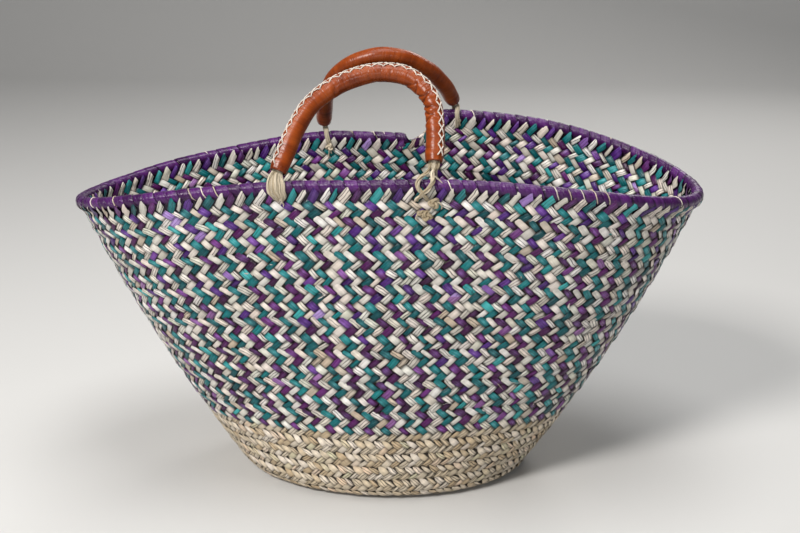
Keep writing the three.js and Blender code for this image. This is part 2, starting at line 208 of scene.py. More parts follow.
class Wall:
    """The basket's wall as a formula. A place is an angle round the oval, a reach along the surface from
    the base's spine, and a depth inside the outer face."""

    # How far the leaves of a plait may reach past its edges, as shares of its width
    spill = (-0.3, 1.3)

    def __init__(self, sizes):
        """Reaches and lengths that follow from the sizes."""
        self.s = sizes
        self.start = sizes.start_width / 2
        self.natural_reach = self.start + sizes.natural_width * sizes.natural_turns
        self.flat = sizes.base_width / 2 - sizes.corner_radius
        self.slant = self.natural_reach + sizes.dyed_width * (sizes.dyed_turns - 0.5) - self.flat
        self.spine = (sizes.base_length - sizes.base_width) / 2
        self.last = sizes.natural_turns + sizes.dyed_turns
        self.taper = sizes.end_taper / TAU

    def angle(self, share):
        """Angle round the oval at a share of a turn, counted from where the turns start."""
        return self.s.turn_start + TAU * share

    def share(self, place):
        """Share of a turn at an angle round the oval."""
        return ((place - self.s.turn_start) / TAU) % 1.0

    def point(self, place, reach):
        """Each upright section is flat, turns up an arc, then bends evenly from foot lean to rim lean."""
        s = self.s
        end = np.abs(np.cos(place)) ** s.end_sharpness
        foot = s.side_foot_lean + (s.end_foot_lean - s.side_foot_lean) * end
        rim = s.side_rim_lean + (s.end_rim_lean - s.side_rim_lean) * end
        arc = s.corner_radius * (math.pi / 2 - foot)
        turned = np.clip(reach - self.flat, 0, arc) / s.corner_radius
        bend = (rim - foot) / (self.slant - arc)
        lean = foot + bend * np.maximum(reach - self.flat - arc, 0)
        out = np.minimum(reach, self.flat) + s.corner_radius * np.sin(turned)
        out = out + (np.cos(foot) - np.cos(lean)) / bend
        height = s.corner_radius * (1 - np.cos(turned)) + (np.sin(lean) - np.sin(foot)) / bend
        return np.stack([(self.spine + out) * np.cos(place), out * np.sin(place), height], -1)

    def out(self, place, reach):
        """The direction out of the wall, square to the directions round and up it."""
        turn, step = 1e-3, 1e-5
        round_ = self.point(place + turn, reach) - self.point(place - turn, reach)
        up = self.point(place, reach + step) - self.point(place, reach - step)
        return unit(np.cross(round_, up))

    def place(self, place, reach, depth):
        """Points at a depth inside the outer face, square to it."""
        return self.point(place, reach) - self.out(place, reach) * depth[..., None]

    def wave(self, share):
        """How far the rim stands above an even climb: high at its step, low to the left of it."""
        s = self.s
        fall, recover, rise, step = (ease((360 * (share % 1.0) - a) / (b - a)) for a, b in WAVE_SPANS)
        high = s.wave_high * (1 - fall) + s.wave_before * rise + (s.wave_high - s.wave_before) * step
        return high - s.wave_low * (fall - recover)

    def bare(self, share):
        """Where the rim's step shows the plait's cut end without its binding: 1 there, and 0 elsewhere."""
        left = (1 - share % 1.0) / self.taper
        return ease((0.85 - left) / 0.1) * ease(left / 0.06)

    def seam(self, turn, share, uncut=False):
        """Reach of the seam above a turn: each turn rises by one width, the dyed turns take up the rim's
        wave as they climb, and the last is cut to a taper at its end."""
        s = self.s
        if turn == 0:
            return np.full(np.shape(share), self.start)
        if turn <= s.natural_turns:
            return self.start + s.natural_width * (turn - 1 + share)
        climb = s.dyed_width * (turn - s.natural_turns - 1 + share)
        swell = ease(climb / (s.dyed_width * (s.dyed_turns - 1)))
        plain = self.natural_reach + climb + swell * self.wave(share)
        if turn < self.last or uncut:
            return plain
        below = self.seam(turn - 1, share)
        return below + (plain - below) * ease((1 - share) / self.taper)

    def run(self, turn):
        """Shares round one turn and the lengths along the middle of its strip up to them."""
        share = np.linspace(-0.02, 1.02, 900)
        reach = (self.seam(turn - 1, share) + self.seam(turn, share)) / 2
        along = lengths_along(self.point(self.angle(share), reach))
        return share, along - np.interp(0, share, along)

    def rim(self, share):
        """Frames along the wall's top edge: middle of the edge, along it, out of the wall, and up."""

        def edge(at):
            """Middle of the wall's top edge."""
            at = at % 1.0
            half = np.full(np.shape(at), self.s.thickness / 2)
            return self.place(self.angle(at), self.seam(self.last, at), half)

        along = unit(edge(share + 1e-3) - edge(share - 1e-3))
        facing = self.out(self.angle(share % 1.0), self.seam(self.last, share % 1.0))
        up = unit(np.cross(facing, along))
        return edge(share), along, np.cross(along, up), up

    def rim_run(self):
        """Shares round the rim and the lengths along it up to them."""
        share = np.linspace(0, 1, 2001)
        return share, lengths_along(self.rim(share)[0])


def patch_faces(patches, rows, columns, around=False, ring=False):
    """Quads of some patches of rows by columns of points. Around joins each patch's last column to its
    first, and ring joins its last row to its first."""
    row = np.arange(rows if ring else rows - 1)[:, None] * columns
    column = np.arange(columns if around else columns - 1)[None, :]
    next_row, after = (row + columns) % (rows * columns), (column + 1) % columns
    quad = np.stack([row + column, next_row + column, next_row + after, row + after], -1)
    shift = np.arange(patches)[:, None, None] * rows * columns
    return (quad.reshape(1, -1, 4) + shift).reshape(-1, 4)


def fan_faces(sides):
    """Quads that close a ring of points."""
    return np.array([[0, k, k + 1, k + 2] for k in range(1, sides - 1, 2)])


class Surface:
    """Points, quads, map and tint of one or more patches, ready to go into a mesh."""

    def __init__(self, points, faces, uv, tint, finish=0):
        """Flat lists of the points, with map and tint spread over all of them."""
        self.points = points.reshape(-1, 3)
        self.faces = faces
        self.uv = np.broadcast_to(uv, points.shape[:-1] + (2,)).reshape(-1, 2)
        self.tint = np.broadcast_to(tint, points.shape[:-1] + (4,)).reshape(-1, 4)
        self.finish = np.full(len(faces), finish)


def make_piece(name, surfaces, finishes):
    """One mesh object from surfaces, with its map, its tint and one material per finish."""

    def joined(part):
        """One part of all the surfaces, end to end."""
        return np.concatenate([getattr(surface, part) for surface in surfaces])

    starts = np.cumsum([0] + [len(s.points) for s in surfaces])
    faces = np.concatenate([s.faces + start for s, start in zip(surfaces, starts)])
    corners = faces.ravel()
    mesh = bpy.data.meshes.new(name)
    mesh.vertices.add(starts[-1])
    mesh.vertices.foreach_set("co", joined("points").astype(np.float32).ravel())
    mesh.loops.add(len(corners))
    mesh.loops.foreach_set("vertex_index", corners.astype(np.int32))
    mesh.polygons.add(len(faces))
    mesh.polygons.foreach_set("loop_start", np.arange(0, len(corners), 4, dtype=np.int32))
    mesh.polygons.foreach_set("material_index", joined("finish").astype(np.int32))
    uv = joined("uv")[corners].astype(np.float32)
    mesh.uv_layers.new(name="lay").data.foreach_set("uv", uv.ravel())
    tint = joined("tint").astype(np.float32)
    mesh.attributes.new("tint", "FLOAT_COLOR", "POINT").data.foreach_set("color", tint.ravel())
    mesh.update(calc_edges=True)
    mesh.shade_smooth()
    for finish in finishes:
        mesh.materials.append(finish)
    piece = bpy.data.objects.new(name, mesh)
    bpy.context.scene.collection.objects.link(piece)
    return piece


def settle(piece, body, slot, *nodes):
    """The piece rides on a body and stands for CAD nodes, if any, which it hides. The slot is not used."""
    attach(piece, body)
    if nodes:
        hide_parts(*nodes)


def given(context):
    """The wall, its sizes, the handles' sizes and the colours that the panel holds."""
    scene = context.scene
    return Wall(scene.basket_sizes), scene.basket_sizes, scene.basket_handles, scene.basket_colours


class StartStrip(Wall):
    """The pointed oval strip in the middle of the base, which faces down and lies along the spine."""

    spill = (0.0, 1.0)

    def angle(self, share):
        """Place along the spine, from one end of the strip to the other."""
        return (2 * share - 1) * (self.spine + self.start)

    def point(self, place, reach):
        """Place and reach laid out flat."""
        return stacked(place, -reach, 0.0)

    def out(self, place, reach):
        """Straight down."""
        return np.array([0.0, 0.0, -1.0])

    def seam(self, turn, share, uncut=False):
        """An oval's edge: half the width times the root of 1 less the square of the place along it."""
        half = self.start * np.sqrt(np.clip(1 - (2 * share - 1) ** 2, 0, 1))
        return half if turn else -half


# Strands


def smooth_path(points, steps):
    """A smooth line through points, on the last axis but one: a spline whose pace follows the root of each
    gap, with its ends reflected."""
    points = np.asarray(points, float)
    first = 2 * points[..., :1, :] - points[..., 1:2, :]
    last = 2 * points[..., -1:, :] - points[..., -2:-1, :]
    line = np.concatenate([first, points, last], -2)
    gap = np.sqrt(np.linalg.norm(np.diff(line, axis=-2), axis=-1))[..., None]
    spans = points.shape[-2] - 1
    p0, p1, p2, p3 = (line[..., i : i + spans, :] for i in range(4))
    g0, g1, g2 = (gap[..., i : i + spans, :] for i in range(3))
    leave = ((p1 - p0) / g0 - (p2 - p0) / (g0 + g1) + (p2 - p1) / g1) * g1
    arrive = ((p2 - p1) / g1 - (p3 - p1) / (g1 + g2) + (p3 - p2) / g2) * g1
    p1, p2, leave, arrive = (q[..., None, :] for q in (p1, p2, leave, arrive))
    t = (np.arange(steps) / steps)[:, None]
    path = (1 - 3 * t**2 + 2 * t**3) * p1 + (t - 2 * t**2 + t**3) * leave
    path = path + (3 * t**2 - 2 * t**3) * p2 + (t**3 - t**2) * arrive
    return np.concatenate([path.reshape(*points.shape[:-2], -1, 3), points[..., -1:, :]], -2)


def tubes(paths, radius, sides, reference, tint):
    """Round strands: a ring of points about each station of each path, square to it, with closed ends."""
    strands, stations = paths.shape[:2]
    along = unit(np.gradient(paths, axis=1))
    side = unit(np.cross(along, reference))
    turn = full_turn(sides)
    ring = np.cos(turn)[:, None] * side[..., None, :]
    ring = ring + np.sin(turn)[:, None] * np.cross(side, along)[..., None, :]
    radius = np.broadcast_to(radius, (strands, stations))
    points = paths[..., None, :] + ring * radius[..., None, None]
    steps = np.linalg.norm(np.diff(paths, axis=1), axis=-1)
    run = np.concatenate([np.zeros((strands, 1)), np.cumsum(steps, 1)], 1)
    uv = stacked(radius[..., None] * turn, run[..., None]) / MM
    uv = uv + MAP_STEP * np.arange(strands)[:, None, None, None]
    faces = patch_faces(strands, stations, sides, around=True)
    fan = fan_faces(sides)
    shift = (np.arange(strands) * stations * sides)[:, None, None]
    far = fan[:, ::-1] + (stations - 1) * sides
    faces = np.concatenate([faces, (fan + shift).reshape(-1, 4), (far + shift).reshape(-1, 4)])
    return Surface(points, faces, uv, tint)


def strand_tints(number, rng):
    """Random shades, one for each strand."""
    tint = np.zeros((number, 1, 1, 4))
    tint[..., 1:] = rng.uniform(0, 1, (number, 1, 1, 3))
    return tint


# Leaves


# Stations along and across one leaf float, as shares of its half length and half width
ALONG = np.array([-1.26, -1.08, -0.94, -0.6, -0.2, 0.2, 0.6, 0.94, 1.08, 1.26])
ACROSS = np.array([-1.0, -0.9, 0.0, 0.9, 1.0])
# How much the leaves of a row differ: shares of their size, radians, and millimetres for the last three
SPREADS = {
    "length": 0.03, "breadth": 0.09, "slant": 0.075, "place": 0.045,
    "tip length": 0.08, "tip breadth": 0.07, "tip slant": 0.06,
    "lap": 0.12, "level": 0.16, "tilt": 0.2,
}


class Strands:
    """The leaf strands of one turn, side by side along it: where each lies, how broad it is and its place
    in the order of dyes. Here and there that order slips by one."""

    def __init__(self, wall, turn, pitch, before):
        """Strands a pitch apart, counted on from the turn before, with edges that wander a little."""
        rng = np.random.default_rng(STRAND_SEED + turn)
        self.pitch = pitch
        self.share, self.along = wall.run(turn)
        self.total = np.interp(1, self.share, self.along)
        first, last = math.ceil(before / pitch) - 1, math.floor((before + self.total) / pitch)
        number = np.arange(first, last + 1)
        edge = rng.normal(0, 0.11, len(number) + 1).clip(-0.22, 0.22)
        self.middle = (number + (edge[1:] + edge[:-1]) / 2) * pitch - before
        self.breadth = 1 + np.diff(edge)
        self.order = number + turn + np.cumsum(rng.uniform(0, 1, len(number)) < 0.02)


class Row:
    """One row of floats in a plait: its share of the strip, its lean, its strands and their order. Lap
    leaves the upper ends lying over the next plait, tips leaves them standing over the binding, and plain
    is undyed."""

    def __init__(self, low, high, lean, strands, pair=0, lap=False, tips=False, plain=False):
        """Middle and height of the row, from the shares at which it starts and ends."""
        self.middle, self.height = (low + high) / 2, high - low
        self.lean, self.strands, self.pair = lean, strands, pair
        self.lap, self.tips, self.plain = lap, tips, plain


def leaf_row(wall, turn, row, inner, rng):
    """One row of leaf floats. Each is a ribbon of half length 1 and half width a half, turned 45 degrees in
    the row's unit square. It is arched along, bevelled at its edges, laps one edge over the next ribbon,
    and dives at its ends under the ribbons of the next rows, while the whole turn swells out between its
    seams. A free upper end is drawn in or cut aslant, and stands out."""
    strands = row.strands
    natural = turn <= wall.s.natural_turns
    lean = -row.lean if inner else row.lean

    def seams(share):
        """Reach of the seam below, of the seam above before it is cut, and of the cut seam."""
        return wall.seam(turn - 1, share), wall.seam(turn, share, True), wall.seam(turn, share)

    middle = strands.middle + (0.5 * strands.pitch if lean > 0 else 0.0)
    low, high, cut = seams(np.interp(middle, strands.along, strands.share))
    kept = (middle >= 0) & (middle < strands.total)
    kept &= low + (high - low) * (row.middle - 0.1 * row.height) < cut
    middle, order = middle[kept][:, None, None], strands.order[kept]
    n = len(order)

    def vary(what):
        """A random difference for each leaf, kept within about twice its spread."""
        spread = SPREADS[what]
        return rng.normal(0, spread, (n, 1, 1)).clip(-2.2 * spread, 2.2 * spread)

    across = ACROSS[None, None, :]
    bevel = ease((np.abs(across) - 0.86) / 0.14)
    x = ALONG[None, :, None] * (1 + vary("length"))
    end = (ALONG[None, :, None] * lean / ALONG[-1]).clip(0, 1)
    free = ease((x * lean - 0.45) / 0.35) if row.tips or (row.lap and not inner) else 0 * x
    y = across * strands.breadth[kept][:, None, None] * (1.04 - np.abs(vary("breadth")))
    turned = math.pi / 4 + vary("slant")
    if row.tips:
        x = np.where(x * lean > 0, 0.78, 1.2) * x * (1 + vary("tip length"))
        y = y * (0.88 + vary("tip breadth"))
        slant = rng.uniform(0.55, 1, (n, 1, 1))
        x = x - lean * (0.5 * slant - 0.2) * (0.6 - across) * end**3
        y = y * np.sqrt(1.03 - (slant - 0.25) * end**9)
        turned = turned + 0.1 + vary("tip slant")
    elif natural:
        y = y * (1 - 0.8 * end**2 * (free > 0))
    else:
        y = y * np.sqrt(1 - 0.7 * end**8 * (free > 0))
    a, b = x / math.sqrt(2), y / math.sqrt(8)
    du = a * np.cos(turned) - lean * b * np.sin(turned)
    dv = lean * a * np.sin(turned) + b * np.cos(turned)
    along = middle + (du + vary("place")) * strands.pitch
    share = np.interp(along, strands.along, strands.share)
    low, high, cut = seams(share)
    width = np.maximum(high - low, 0.2 * MM)
    part = row.middle + dv * row.height
    reach = low + width * np.clip(part, *wall.spill)
    reach = np.where(cut < high - 0.3 * MM, np.minimum(reach, cut + 0.5 * MM), reach)

    # How deep it lies inside the wall's face, in millimetres, and less where the plait is cut narrow
    depth = 0.1 + 0.08 * across**2 + 0.26 * bevel + (0.14 + vary("lap")) * across
    depth = depth + 0.6 * np.abs(x) ** 3 * (1 - 0.6 * free)
    depth = depth + 1.3 * ease((np.abs(x) - 0.9) / 0.3) * (1 - free) - 0.75 * free
    depth = depth + vary("level") + vary("tilt") * x
    depth = depth - wall.s.turn_swell / MM * (1 - (2 * np.clip(part, 0, 1) - 1) ** 2)
    if row.tips:
        depth = depth - 0.2 - 3.4 * ease((part - 0.78) / 0.24)
    underside = wall.point(wall.angle(share), reach)[..., 2] < 3 * MM
    depth = np.where(underside, np.maximum(depth, 0.05), depth)
    depth = depth * np.clip(width / (0.8 * wall.s.natural_width), 0.25, 1) * MM
    if inner:
        depth = wall.s.thickness - depth
    points = wall.place(wall.angle(share), reach, depth)
    uv = stacked(b, a) * strands.pitch / MM + rng.uniform(0, MAP_RANGE, (n, 1, 1, 2))

    # Its dye, shade, hue and painted light: painted shade where it dives and along its bevels, and a painted
    # sheen on its upper half
    tint = np.zeros(points.shape[:-1] + (4,))
    tint[..., 1:3] = rng.uniform(0, 1, (n, 1, 1, 2))
    sheen = 1 + (0.16 if lean > 0 else 0.4) * hump((x * lean - 0.25) / 0.45)
    dark, fold = (0.6, 0.68) if natural else (0.95, 0.78)
    light = 1 - dark * ease((np.abs(x) - fold) / (1.04 - fold)) * (1 - free)
    tint[..., 3] = light * (1 - 0.7 * bevel) * sheen
    # Rows that lean right get a painted shade
    if lean > 0 and not row.tips:
        tint[..., 3] *= 0.86
    if not natural and not row.plain:
        dye = STRAND_DYES[(order + 2 * row.pair + inner) % 4]
        tint[..., 0] = np.where(rng.uniform(0, 1, n) < 0.02, NATURAL, dye)[:, None, None]
    faces = patch_faces(n, len(ALONG), len(ACROSS))
    return Surface(points, faces[:, ::-1] if inner else faces, uv, tint)


def natural_rows(strands):
    """Two rows, whose upper ends lap over the plait above."""
    return [Row(0, 0.5, 1, strands), Row(0.5, 1, -1, strands, lap=True)]


def dyed_rows(strands, below, last):
    """The rows of a dyed turn, from the bottom up. The first is the top row of the plait below, which laps
    over this one. The lowest turn starts with an undyed row, and the last ends in tips that stand over the
    binding."""
    if below is None:
        low, high = 0.33, 0.66
        return [
            Row(0, low, 1, strands, plain=True), Row(low, high, -1, strands), Row(high, 1, 1, strands, 1)
        ]
    row = 0.235 if last else 0.25
    return [
        Row(0, row, -1, below, 1, lap=True),
        Row(row, 2 * row, 1, strands),
        Row(2 * row, 3 * row, -1, strands),
        Row(3 * row, 1.05 if last else 1, 1, strands, 1, tips=last),
    ]


def core_sheet(wall, turn):
    """The inside of the plait, dark with painted shade: a flat closed band between the two layers of floats.
    """
    share = np.linspace(0, 1, 181)
    low, high = wall.seam(turn - 1, share), wall.seam(turn, share)
    edge = np.minimum(0.5 * MM, (high - low) * 0.2)
    across = np.array([0, 0.5, 1, 1, 0.5, 0])
    deep = np.array([1.62, 1.62, 1.62, 2.38, 2.38, 2.38]) * MM
    reach = (low + edge)[:, None] + (high - low - 2 * edge)[:, None] * across
    points = wall.place(wall.angle(share)[:, None], reach, deep)
    faces = patch_faces(1, len(share), len(across), around=True)
    ends = np.array([[0, 1, 4, 5], [1, 2, 3, 4]])
    far = (len(share) - 1) * len(across) + ends[:, ::-1]
    return Surface(points, np.concatenate([faces, ends, far]), np.zeros(2), np.zeros(4), 1)


def plait_turn(name, wall, turn, rows, finishes):
    """One turn of plait: its core and both layers of floats."""
    rng = np.random.default_rng(TURN_SEED + turn)
    surfaces = [core_sheet(wall, turn)]
    for inner in (False, True):
        for row in rows:
            surfaces.append(leaf_row(wall, turn, row, inner, rng))
    return make_piece(name, surfaces, finishes)


def seam_cord(wall, first, last, pitch, finish, name):
    """The sewing cord: a round cord that follows the seams up the spiral and weaves in and out."""
    steps = 400
    share = np.linspace(0, 1, steps, endpoint=False)
    turns = np.arange(first, last + 1)
    reach = np.concatenate([wall.seam(turn, share) for turn in turns])
    share = np.tile(share, len(turns))
    run = lengths_along(wall.point(wall.angle(share), reach))
    along = np.linspace(0, run[-1], int(run[-1] / pitch * 4))
    whole = np.interp(along, run, np.repeat(turns, steps) + share)
    reach = np.interp(along, run, reach)
    swing = TAU * along / pitch
    deep = wall.s.thickness / 2 + 0.25 * MM * np.sin(swing)
    path = wall.place(wall.angle(whole % 1.0), reach + 0.3 * MM * np.cos(swing), deep)
    out = wall.out(wall.angle(whole % 1.0), reach)
    cord = tubes(path[None], wall.s.seam_cord / 2, 4, out[None], np.zeros(4))
    return make_piece(name, [cord], [finish])


# Finishes


def toned(tone, red, green, blue):
    """A colour with its channels scaled, kept within 0 to 1."""
    return (*(min(1.0, c * k) for c, k in zip(tone, (red, green, blue))), 1.0)


class Nodes:
    """A node tree in the making. Values are numbers, colours or the outputs of other nodes."""

    def __init__(self, tree):
        """Nodes are added to this tree."""
        self.tree = tree

    def fill(self, socket, value):
        """A socket linked to an output or set to a value."""
        if isinstance(value, bpy.types.NodeSocket):
            self.tree.links.new(value, socket)
        else:
            socket.default_value = value

    def add(self, kind, inputs=(), **values):
        """A shader node with its inputs, by name or number, and its properties."""
        made = self.tree.nodes.new("ShaderNode" + kind)
        for key, value in values.items():
            setattr(made, key, value)
        for key, value in dict(inputs).items():
            self.fill(made.inputs[key], value)
        return made

    def math(self, operation, *values, clamp=False):
        """One step of arithmetic."""
        return self.add("Math", enumerate(values), operation=operation, use_clamp=clamp).outputs[0]

    def times(self, first, second):
        """Two values multiplied."""
        return self.math("MULTIPLY", first, second)

    def scaled(self, value, by, plus, clamp=False):
        """A value times one number, plus another."""
        return self.math("MULTIPLY_ADD", value, by, plus, clamp=clamp)

    def above(self, value, limit):
        """1 where a value is greater than a limit, and 0 elsewhere."""
        return self.math("GREATER_THAN", value, limit)

    def mix(self, factor, first, second, blend="MIX"):
        """Two colours blended. The node's sockets 0, 6, 7 and 2 are those for colours."""
        inputs = {0: factor, 6: first, 7: second}
        return self.add("Mix", inputs, data_type="RGBA", blend_type=blend).outputs[2]

    def shaded(self, tone, value):
        """A colour multiplied by a grey."""
        grey = self.add("CombineColor", {channel: value for channel in range(3)})
        return self.mix(1.0, tone, grey.outputs[0], "MULTIPLY")

    def ramp(self, factor, tone, *stops):
        """A colour ramp. Each stop is a place and the factors for the tone's red, green and blue there."""
        made = self.add("ValToRGB", {0: factor})
        elements = made.color_ramp.elements
        while len(elements) < len(stops):
            elements.new(0.5)
        for element, (place, *factors) in zip(elements, stops):
            element.position = place
            element.color = toned(tone, *factors)
        return made.outputs[0]

    def noise(self, at, **inputs):
        """Noise at a place."""
        return self.add("TexNoise", {0: at, **inputs}).outputs[0]

    def stretched(self, at, across, along):
        """A place scaled across and along."""
        return self.add("Mapping", {0: at, "Scale": (across, along, 1.0)}).outputs[0]

    def bump(self, height, strength, distance, **inputs):
        """A normal that is tilted by a height."""
        inputs = {"Height": height, "Strength": strength, "Distance": distance, **inputs}
        return self.add("Bump", inputs).outputs[0]


class Finish(Nodes):
    """A material in the making, fed by the place, the map and the tint of the pieces that wear it."""

    def __init__(self, name, roughness, specular=0.5):
        """A new material with a plain shader."""
        self.material = bpy.data.materials.new(name)
        self.material.use_nodes = True
        super().__init__(self.material.node_tree)
        self.tree.nodes.clear()
        self.shader = self.add("BsdfPrincipled", {"Roughness": roughness, "Specular IOR Level": specular})
        self.add("OutputMaterial", {0: self.shader.outputs[0]})

    def place(self):
        """Place on the piece, in metres."""
        return self.add("TexCoord").outputs["Object"]

    def lay(self):
        """The piece's map, across and along in millimetres."""
        return self.add("UVMap", uv_map="lay").outputs[0]

    def tint(self):
        """Red, green, blue and alpha of the piece's tint."""
        tint = self.add("Attribute", attribute_name="tint")
        return (*self.add("SeparateColor", {0: tint.outputs["Color"]}).outputs, tint.outputs["Alpha"])

    def fibre(self, fineness):
        """Streak, split and height of the leaf's fibres."""
        return self.add("Group", {0: self.lay(), 1: fineness}, node_tree=leaf_fibre_group()).outputs

    def done(self, tone, rough=None, normal=None):
        """The material, with colour, roughness and bumps led to its shader."""
        for name, value in (("Base Color", tone), ("Roughness", rough), ("Normal", normal)):
            if value is not None:
                self.fill(self.shader.inputs[name], value)
        return self.material


def leaf_fibre_group():
    """Fine streaks along a leaf and the lines where it is split into strips, from a map in millimetres,
    across and along."""
    name = "leaf_fibre"
    if name in bpy.data.node_groups:
        return bpy.data.node_groups[name]
    tree = bpy.data.node_groups.new(name, "ShaderNodeTree")
    for socket, way, kind in (
        ("Lay", "INPUT", "Vector"),
        ("Fineness", "INPUT", "Float"),
        ("Streak", "OUTPUT", "Float"),
        ("Split", "OUTPUT", "Float"),
        ("Height", "OUTPUT", "Float"),
    ):
        tree.interface.new_socket(socket, in_out=way, socket_type="NodeSocket" + kind)
    f = Nodes(tree)
    lay, fineness = list(tree.nodes.new("NodeGroupInput").outputs)[:2]
    lay = f.add("VectorMath", {0: lay, "Scale": fineness}, operation="SCALE").outputs[0]
    streak = f.noise(f.stretched(lay, 2.4, 0.1), Scale=1.0, Detail=3.0, Roughness=0.6)
    wander = f.noise(f.stretched(lay, 0.25, 0.12), Scale=1.0, Detail=1.0)
    sideways = f.add("SeparateXYZ", {0: lay}).outputs[0]
    strip = f.math("DIVIDE", f.scaled(wander, 2.6, sideways), 2.8)
    number = f.math("FLOOR", strip)
    tone = f.add("TexWhiteNoise", {"W": number}, noise_dimensions="1D").outputs["Value"]
    away = f.math("ABSOLUTE", f.math("SUBTRACT", f.math("FRACT", strip), 0.5))
    split = f.scaled(away, 14.0, -5.1, clamp=True)
    streaked = f.scaled(tone, 0.3, f.math("SUBTRACT", streak, 0.15))
    height = f.math("SUBTRACT", streak, f.times(split, 0.8))
    for target, source in zip(tree.nodes.new("NodeGroupOutput").inputs, (streaked, split, height)):
        tree.links.new(source, target)
    return tree


def leaf_finish(colours):
    """Palm leaf, natural, teal or purple by its tint, with fibre streaks, split lines and a shade of its own.
    Purple turns from plum to violet up the wall. The tint's painted light gives each leaf painted shade where
    it dives and at its edges, and dyed leaf gets a painted sheen, paler where it stands out."""
    f = Finish("palm_leaf", 0.5, 0.3)
    dye, shade, hue, painted_light = f.tint()
    streak, split, height = f.fibre(1.0)
    plain = f.ramp(
        shade, colours.plain, (0.0, 0.78, 0.7, 0.58), (0.3, 0.93, 0.92, 0.88), (0.55, 1.0, 1.02, 1.05),
        (0.8, 1.14, 1.2, 1.36), (0.9, 1.1, 0.99, 0.94), (1.0, 0.93, 1.03, 0.94))
    natural = f.ramp(
        shade, colours.natural, (0.0, 0.76, 0.64, 0.5), (0.12, 0.86, 0.83, 0.75), (0.35, 0.97, 0.98, 0.93),
        (0.55, 1.05, 0.96, 0.88), (0.75, 1.14, 1.15, 1.15), (0.88, 0.93, 0.97, 0.84), (1.0, 1.1, 0.98, 0.9))
    # The top ends of the teal, plum and violet ramps give a few leaves, at random, a bright painted sheen
    teal = f.ramp(
        shade, colours.teal, (0.0, 0.5, 0.4, 0.46), (0.45, 1.0, 0.9, 0.94), (0.8, 1.6, 1.25, 1.25),
        (0.92, 6.0, 1.7, 1.65), (1.0, 26.0, 2.9, 2.7))
    plum = f.ramp(
        shade, colours.purple, (0.0, 0.5, 0.3, 0.2), (0.45, 0.95, 0.42, 0.42), (0.82, 1.5, 0.8, 0.7),
        (0.92, 2.4, 2.6, 1.3), (1.0, 5.0, 14.0, 2.4))
    violet = f.ramp(
        shade, colours.purple, (0.0, 0.55, 0.5, 0.6), (0.45, 0.9, 0.95, 1.0), (0.82, 1.3, 1.9, 1.35),
        (0.91, 2.6, 5.0, 1.9), (1.0, 6.4, 25.0, 4.0))
    higher = f.scaled(f.add("SeparateXYZ", {0: f.place()}).outputs[2], 3.2, -0.5)
    purple = f.mix(f.above(f.math("ADD", higher, hue), 0.85), plum, violet)
    # Painted sheen: dyed leaf is mixed paler along its streaks where the tint's painted light is high
    painted_sheen = f.times(f.scaled(painted_light, 1.5, -1.3, clamp=True), f.scaled(streak, 1.6, -0.35, clamp=True))
    teal = f.mix(painted_sheen, teal, toned(colours.teal, 60, 2.6, 2.6))
    purple = f.mix(painted_sheen, purple, toned(colours.purple, 3.6, 11, 2.6))
    stained = f.above(dye, (NATURAL + TEAL) / 2)
    tone = f.mix(f.above(dye, NATURAL / 2), plain, natural)
    tone = f.mix(stained, tone, teal)
    tone = f.mix(f.above(dye, (TEAL + PURPLE) / 2), tone, purple)
    often = f.above(f.math("FRACT", f.times(hue, 7.0)), 0.46)
    darker = f.scaled(f.times(split, often), f.scaled(stained, 0.35, -0.85), 1.0)
    # The tint's painted light and shade scale the tone
    light = f.times(f.scaled(painted_light, 0.9, 0.1), darker)
    tone = f.shaded(tone, f.times(f.scaled(streak, 0.9, 0.56), light))
    rough = f.math("SUBTRACT", f.scaled(streak, 0.24, 0.3), f.times(stained, 0.16))
    return f.done(tone, rough, f.bump(height, 0.55, 0.0004))


def core_finish(colours):
    """Leaf deep inside the plait, rough, and dark as painted shade between the two layers of floats."""
    f = Finish("inner_leaf", 0.85)
    noise = f.noise(f.place(), Scale=260.0)
    return f.done(f.ramp(noise, colours.core, (0.3, 0.5, 0.5, 0.5), (0.7, 1.5, 1.5, 1.5)))


def fibre_finish(name, tone, fineness):
    """Natural fibre of cords and ropes, streaked along its length, with a shade of its own per strand."""
    f = Finish(name, 0.7)
    streak, split, height = f.fibre(fineness)
    base = f.ramp(f.tint()[1], tone, (0.0, 0.72, 0.66, 0.56), (0.5, 1, 1, 1), (1.0, 1.15, 1.15, 1.16))
    light = f.times(f.scaled(streak, 1.0, 0.5), f.scaled(split, -0.5, 1.0))
    return f.done(f.shaded(base, light), normal=f.bump(height, 0.7, 0.0004))


def rim_finish(colours):
    """Purple leaf wrapped round the rim, streaked along each wrap, with a painted highlight on its ridge, and
    painted shade in the grooves and low down, which the tint marks."""
    f = Finish("rim_leaf", 0.3, 0.36)
    crest, shade, up, clear = f.tint()
    streak, _, height = f.fibre(0.8)
    tone = f.ramp(shade, colours.rim, (0.0, 0.6, 0.5, 0.55), (0.5, 1, 1, 1), (1.0, 1.5, 1.7, 1.45))
    # Painted shade: darker low down on the binding and in the grooves between wraps
    light = f.times(f.scaled(up, 0.85, 0.15), f.scaled(clear, 0.75, 0.25))
    tone = f.shaded(tone, f.times(f.scaled(streak, 1.3, 0.35), light))
    # A painted highlight, paler along the ridge of each wrap
    painted_crest_highlight = f.times(crest, f.times(streak, 0.07))
    tone = f.mix(painted_crest_highlight, tone, toned(colours.rim, 5.0, 9.0, 4.6))
    return f.done(tone, f.scaled(streak, 0.2, 0.13), f.bump(height, 0.6, 0.0005))


